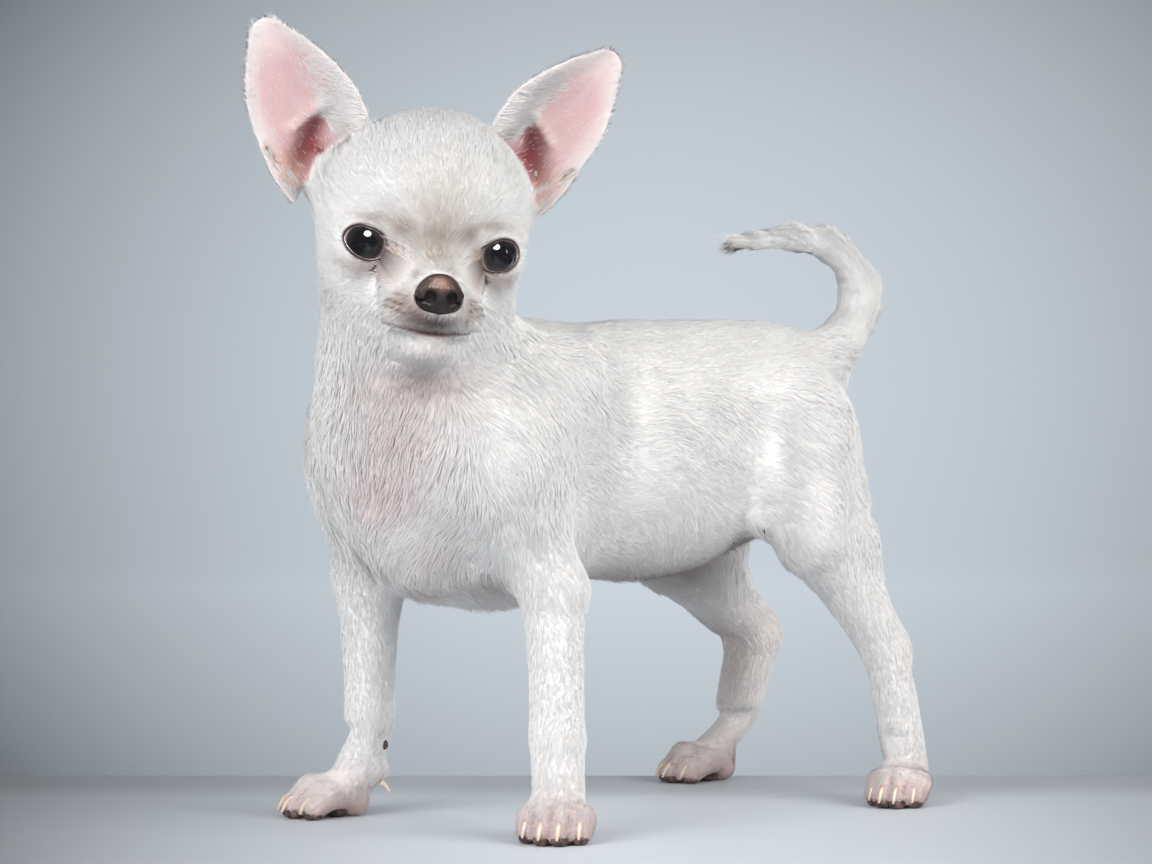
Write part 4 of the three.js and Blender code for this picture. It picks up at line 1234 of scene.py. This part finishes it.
def hornFinish():
    paint = Paint("hornFinish", Roughness=0.34, Subsurface_Weight=0.2, Subsurface_Scale=0.001)
    streak = paint.noise(1800, 2.0, (1, 1, 0.4))
    paint.feed("Base Color", paint.mix(streak * 0.4, paint.attribute("tint"), (0.66, 0.52, 0.42)))
    return paint.material


def padFinish():
    paint = Paint("padFinish", Specular_IOR_Level=0.4)
    grain = paint.cells(1700.0)
    worn = paint.noise(500, 2.0).ramp(0.35, 0.7)
    paint.feed("Base Color", paint.mix(worn, (0.035, 0.022, 0.020), (0.16, 0.085, 0.075)))
    paint.feed("Roughness", grain * 0.3 + 0.42)
    paint.bump(1 - grain, 0.0002, 0.7)
    return paint.material


claws = {
    "length": 4.0, "radius": 1.25, "drop": 4.4, "sides": 12, "dew": 3.4, "dewRadius": 1.1,
    "tone": (0.74, 0.61, 0.50), "rootTone": (0.50, 0.27, 0.22),
}


def bow(start, way, length, drop, steps):
    # A line that starts along the way and sinks as a parabola does.
    shares = np.linspace(0, 1, steps)
    return [Vector(start) + way * (length * t) + Vector((0, 0, -drop * t * t)) for t in shares]


def addClaws():
    bm = bmesh.new()
    taken = []
    for name, limb in limbs.items():
        for number, toe in enumerate(toesOf(limb)):
            start = np.array(toe["claw"]) + (toe["ahead"][0] * 1.2, toe["ahead"][1] * 1.2, 0.2)
            line = bow(start, Vector((*toe["ahead"], 0)).normalized(), claws["length"], claws["drop"], 7)
            radii = [claws["radius"] * (1 - 0.72 * t ** 1.8) * mm for t in np.linspace(0, 1, 7)]
            taper(bm, [dogPoint(p) for p in line], radii, claws["sides"])
            taken.append(f"claw_{name}_{number + 1}")
    for name in ("left", "right"):
        low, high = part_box(f"dewclaw_fore_{name}")
        middle = (low + high) / 2
        foot = dogPoint(limbs[f"fore_{name}"]["joints"][3])
        out = middle - foot
        out.z = 0
        out.normalize()
        start = Vector((foot.x, foot.y, middle.z + 1.6 * mm)) + out * 6.2 * mm
        line = bow(start, out, claws["dew"] * mm, claws["dew"] * mm, 6)
        radii = [claws["dewRadius"] * (1 - 0.7 * t) * mm for t in np.linspace(0, 1, 6)]
        taper(bm, line, radii, claws["sides"])
        taken.append(f"dewclaw_fore_{name}")
    bmesh.ops.recalc_face_normals(bm, faces=bm.faces)
    mesh = meshOf(bm, "claws")
    places = placesOf(mesh)
    places[:, 2] = np.maximum(places[:, 2], 0.05 * mm)
    mesh.vertices.foreach_set("co", places.astype(np.float32).ravel())
    spots = inDog(places)
    warm = np.zeros(len(spots))
    for limb in limbs.values():
        for toe in toesOf(limb):
            warm = np.maximum(warm, bell(np.linalg.norm(spots - np.array(toe["claw"]), axis=1), 3.4))
    paintPoints(mesh, toward(np.array(claws["tone"]), claws["rootTone"], warm))
    addPiece("claws", mesh, hornFinish(), "claw_horn", *taken)


def addPads():
    bm = bmesh.new()
    for name, limb in limbs.items():
        hx, hy = limb["heading"]
        angle = math.atan2(hy, hx)
        pads = []
        for toe in toesOf(limb):
            x, y, _ = toe["tip"]
            pads.append(((x + hx * 0.6, y + hy * 0.6, 1.7), (3.4, 2.8, 2.0)))
        px, py = limb["paw"]
        pads.append(((px - hx * 2.2, py - hy * 2.2, 2.4), (4.6, 6.0, 2.8)))
        if name.startswith("fore"):
            side = limb["side"]
            ankle, foot = limb["joints"][2:]
            pads.append((np.array(between(ankle, foot, 0.58)) + (-side * 6.0, 3.4, 0), (1.2, 1.5, 1.7)))
        for spot, size in pads:
            place = Matrix.Translation(dogPoint(spot)) @ Matrix.Rotation(angle, 4, "Z")
            place = place @ Matrix.Diagonal((size[0] * mm, size[1] * mm, size[2] * mm, 1))
            bmesh.ops.create_icosphere(bm, subdivisions=3, radius=1.0, matrix=place)
    for v in bm.verts:
        v.co.z = max(v.co.z, 0.02 * mm)
    addPiece("pads", meshOf(bm, "pads"), padFinish(), "nose_leather")


def addWhiskers():
    bm = bmesh.new()
    turn = np.random.default_rng(21)
    shares = np.linspace(0, 1, 7)
    for side in (1, -1):
        for row in range(3):
            for step in range(3):
                start = Vector((side * (10.2 + step * 1.7), -39.6 + step * 1.6, -20.4 - row * 2.3))
                sink = -0.05 - 0.2 * row + turn.uniform(-0.1, 0.1)
                way = Vector((side * (0.75 + 0.12 * step), -0.42 + 0.3 * step, sink)).normalized()
                length = turn.uniform(9, 15) + 2.5 * step
                line = [start + way * (length * t) + Vector((0, 4.0, -3.4)) * t * t for t in shares]
                taper(bm, [headPoint(p) for p in line], [0.05 * (1 - 0.8 * t) * mm for t in shares], 5)
    bmesh.ops.recalc_face_normals(bm, faces=bm.faces)
    paint = Paint("whiskerFinish", Roughness=0.4, Base_Color=(0.93, 0.91, 0.88, 1), Alpha=0.7)
    addPiece("whiskers", meshOf(bm, "whiskers"), paint.material, "coat")


addClaws()
addPads()
addWhiskers()
stage("claws, pads and whiskers set")

# Stage, light and camera
camera = {"place": (805.48, -696.76, 140.0), "turn": 40.0, "tilt": 0.817, "lens": 100.8}
backdrop = {
    "starts": 0.1, "glow": 0.637, "aside": (0.0245, 0.197, 1.25, 0.279), "above": (0.022, 0.1085, 1.6, 0.144),
    "tint": (0.921, 1.012, 1.106), "floorTint": (0.945, 1, 1.06),
}


# The floor is lit. Past its back edge the sheet glows as the photo's backdrop does, brightest behind the dog.
def floorWithPaintedLight(away, across):
    paint = Paint("floorWithPaintedLight", Roughness=0.5, Specular_IOR_Level=0.15, Emission_Strength=1.0)
    spot = paint.spot()

    def along(way, start):
        rest = paint.vectors("SUBTRACT", spot, tuple(start))
        return paint.vectors("DOT_PRODUCT", rest, tuple(way), out="Value")

    def fade(way, kind):
        # How far from the brightest place, squared, up to a limit.
        middle, reach, most, share = backdrop[kind]
        off = (along(way, eyeSpot) / ahead - middle) / reach
        return paint.maths("MINIMUM", off * off, most), share

    eyeSpot = dogPoint(camera["place"])
    tilt = math.radians(camera["tilt"])
    forward = away * math.cos(tilt) + Vector((0, 0, -math.sin(tilt)))
    ahead = paint.maths("MAXIMUM", along(forward, eyeSpot), 0.5)
    aside, asideShare = fade(across, "aside")
    above, aboveShare = fade(across.cross(forward), "above")
    far = along(away, Vector((0, 0, 0)))
    edge = paint.maths("MINIMUM", (far - backdrop["starts"]) * 4000.0, 1.0, use_clamp=True)
    # The floor's own tone with a faint noise, painted darker towards the sides and in a band before its back
    # edge as painted shade
    clothAndShade = (0.84 - aside * 0.47) * (1 - far.ramp(0.035, 0.075) * 0.2) * (paint.noise(9, 3.0) * 0.06 + 0.97)
    lit = paint.shade(paint.mix(0.0, backdrop["floorTint"], (1, 1, 1)), clothAndShade)
    paint.feed("Base Color", paint.mix(edge, lit, (0.0, 0.0, 0.0)))
    # Past the edge a painted glow, no lamp, fading from its brightest place towards the sides, top and bottom
    glow = backdrop["glow"] - aside * asideShare - above * aboveShare
    shining = paint.shade(paint.mix(0.0, backdrop["tint"], (1, 1, 1)), glow)
    paint.feed("Emission Color", paint.mix(edge, (0.0, 0.0, 0.0), shining))
    return paint.material


def addStage():
    phi = math.radians(camera["turn"])
    away = Vector((-math.cos(phi), math.sin(phi), 0))
    across = Vector((math.sin(phi), math.cos(phi), 0))
    bm = bmesh.new()
    level, bend, top = 1.2, 0.7, 3.2
    profile = [(-2.0, 0.0), (0.1, 0.0), (level, 0.0)]
    for t in np.linspace(0.08, math.pi / 2, 24):
        profile.append((level + bend * math.sin(t), bend - bend * math.cos(t)))
    profile.append((level + bend, top))
    line = [bm.verts.new(away * d - across * 3.0 + Vector((0, 0, h))) for d, h in profile]
    rim = [bm.edges.new((a, b)) for a, b in zip(line[:-1], line[1:])]
    grown = bmesh.ops.extrude_edge_only(bm, edges=rim)["geom"]
    bmesh.ops.translate(bm, vec=across * 6.0, verts=[g for g in grown if isinstance(g, bmesh.types.BMVert)])
    bmesh.ops.recalc_face_normals(bm, faces=bm.faces)
    floor = putIn("floor", meshOf(bm, "floor"))
    floor.data.materials.append(floorWithPaintedLight(away, across))


def addLight(name, place, aim, size, power, colour):
    # A lamp of one size is round. The glints only show in the eyes and nose, and the others only light.
    lamp = bpy.data.lights.new(name, "AREA")
    lamp.shape = "RECTANGLE" if size[1] else "DISK"
    lamp.size = size[0]
    if size[1]:
        lamp.size_y = size[1]
    lamp.energy = power
    lamp.color = colour
    holder = putIn(name, lamp)
    holder.location = place
    holder.rotation_mode = "QUATERNION"
    holder.rotation_quaternion = (Vector(aim) - Vector(place)).to_track_quat("-Z", "Y")
    holder.visible_diffuse = not name.startswith("glint")
    holder.visible_glossy = name.startswith("glint")


def addCamera():
    phi, tilt = math.radians(camera["turn"]), math.radians(camera["tilt"])
    forward = Vector((-math.cos(phi) * math.cos(tilt), math.sin(phi) * math.cos(tilt), -math.sin(tilt)))
    lens = bpy.data.cameras.new("camera")
    lens.lens = camera["lens"]
    lens.sensor_width = 36
    lens.clip_end = 50
    holder = putIn("camera", lens)
    holder.location = dogPoint(camera["place"])
    holder.rotation_mode = "QUATERNION"
    holder.rotation_quaternion = forward.to_track_quat("-Z", "Y")
    bpy.context.scene.camera = holder
    return forward


addStage()
forward = addCamera()
across = Vector((-forward.y, forward.x, 0)).normalized() * -1
middle = Vector((0, 0, 0.14))
face = headPoint((0, -20, -6))


def lampPlace(towards, up, right, reach, start):
    way = (-forward * towards + across * right + Vector((0, 0, up))).normalized()
    return start + way * reach


for name, towards, up, right, reach, aim, size, power, colour in (
    ("glint", 0.62, 0.77, 0.1, 1.15, face, (0.83, 0), 48, (1, 1, 1)),
    ("glintRight", 0.30, 0.42, 1.3, 1.1, face, (0.1, 0.3), 1.0, (1, 1, 1)),
    ("key", 0.62, 0.77, 0.1, 1.3, middle, (0.8, 0), 1.4, (1, 1, 1)),
    ("right", 0.5, 0.3, 0.8, 1.5, middle, (1.1, 1.1), 18.0, (1, 0.995, 0.985)),
    ("left", 0.75, 0.25, -0.6, 1.5, middle, (1.1, 1.1), 19.5, (0.985, 0.99, 1)),
):
    addLight(name, lampPlace(towards, up, right, reach, aim), aim, size, power, colour)
world = bpy.data.worlds.new("studio")
bpy.context.scene.world = world
world.use_nodes = True
world.node_tree.nodes["Background"].inputs[0].default_value = (0.97, 0.985, 1, 1)
world.node_tree.nodes["Background"].inputs[1].default_value = 0.3
bpy.context.scene.view_settings.view_transform = "Standard"

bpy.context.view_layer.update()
stage("done")
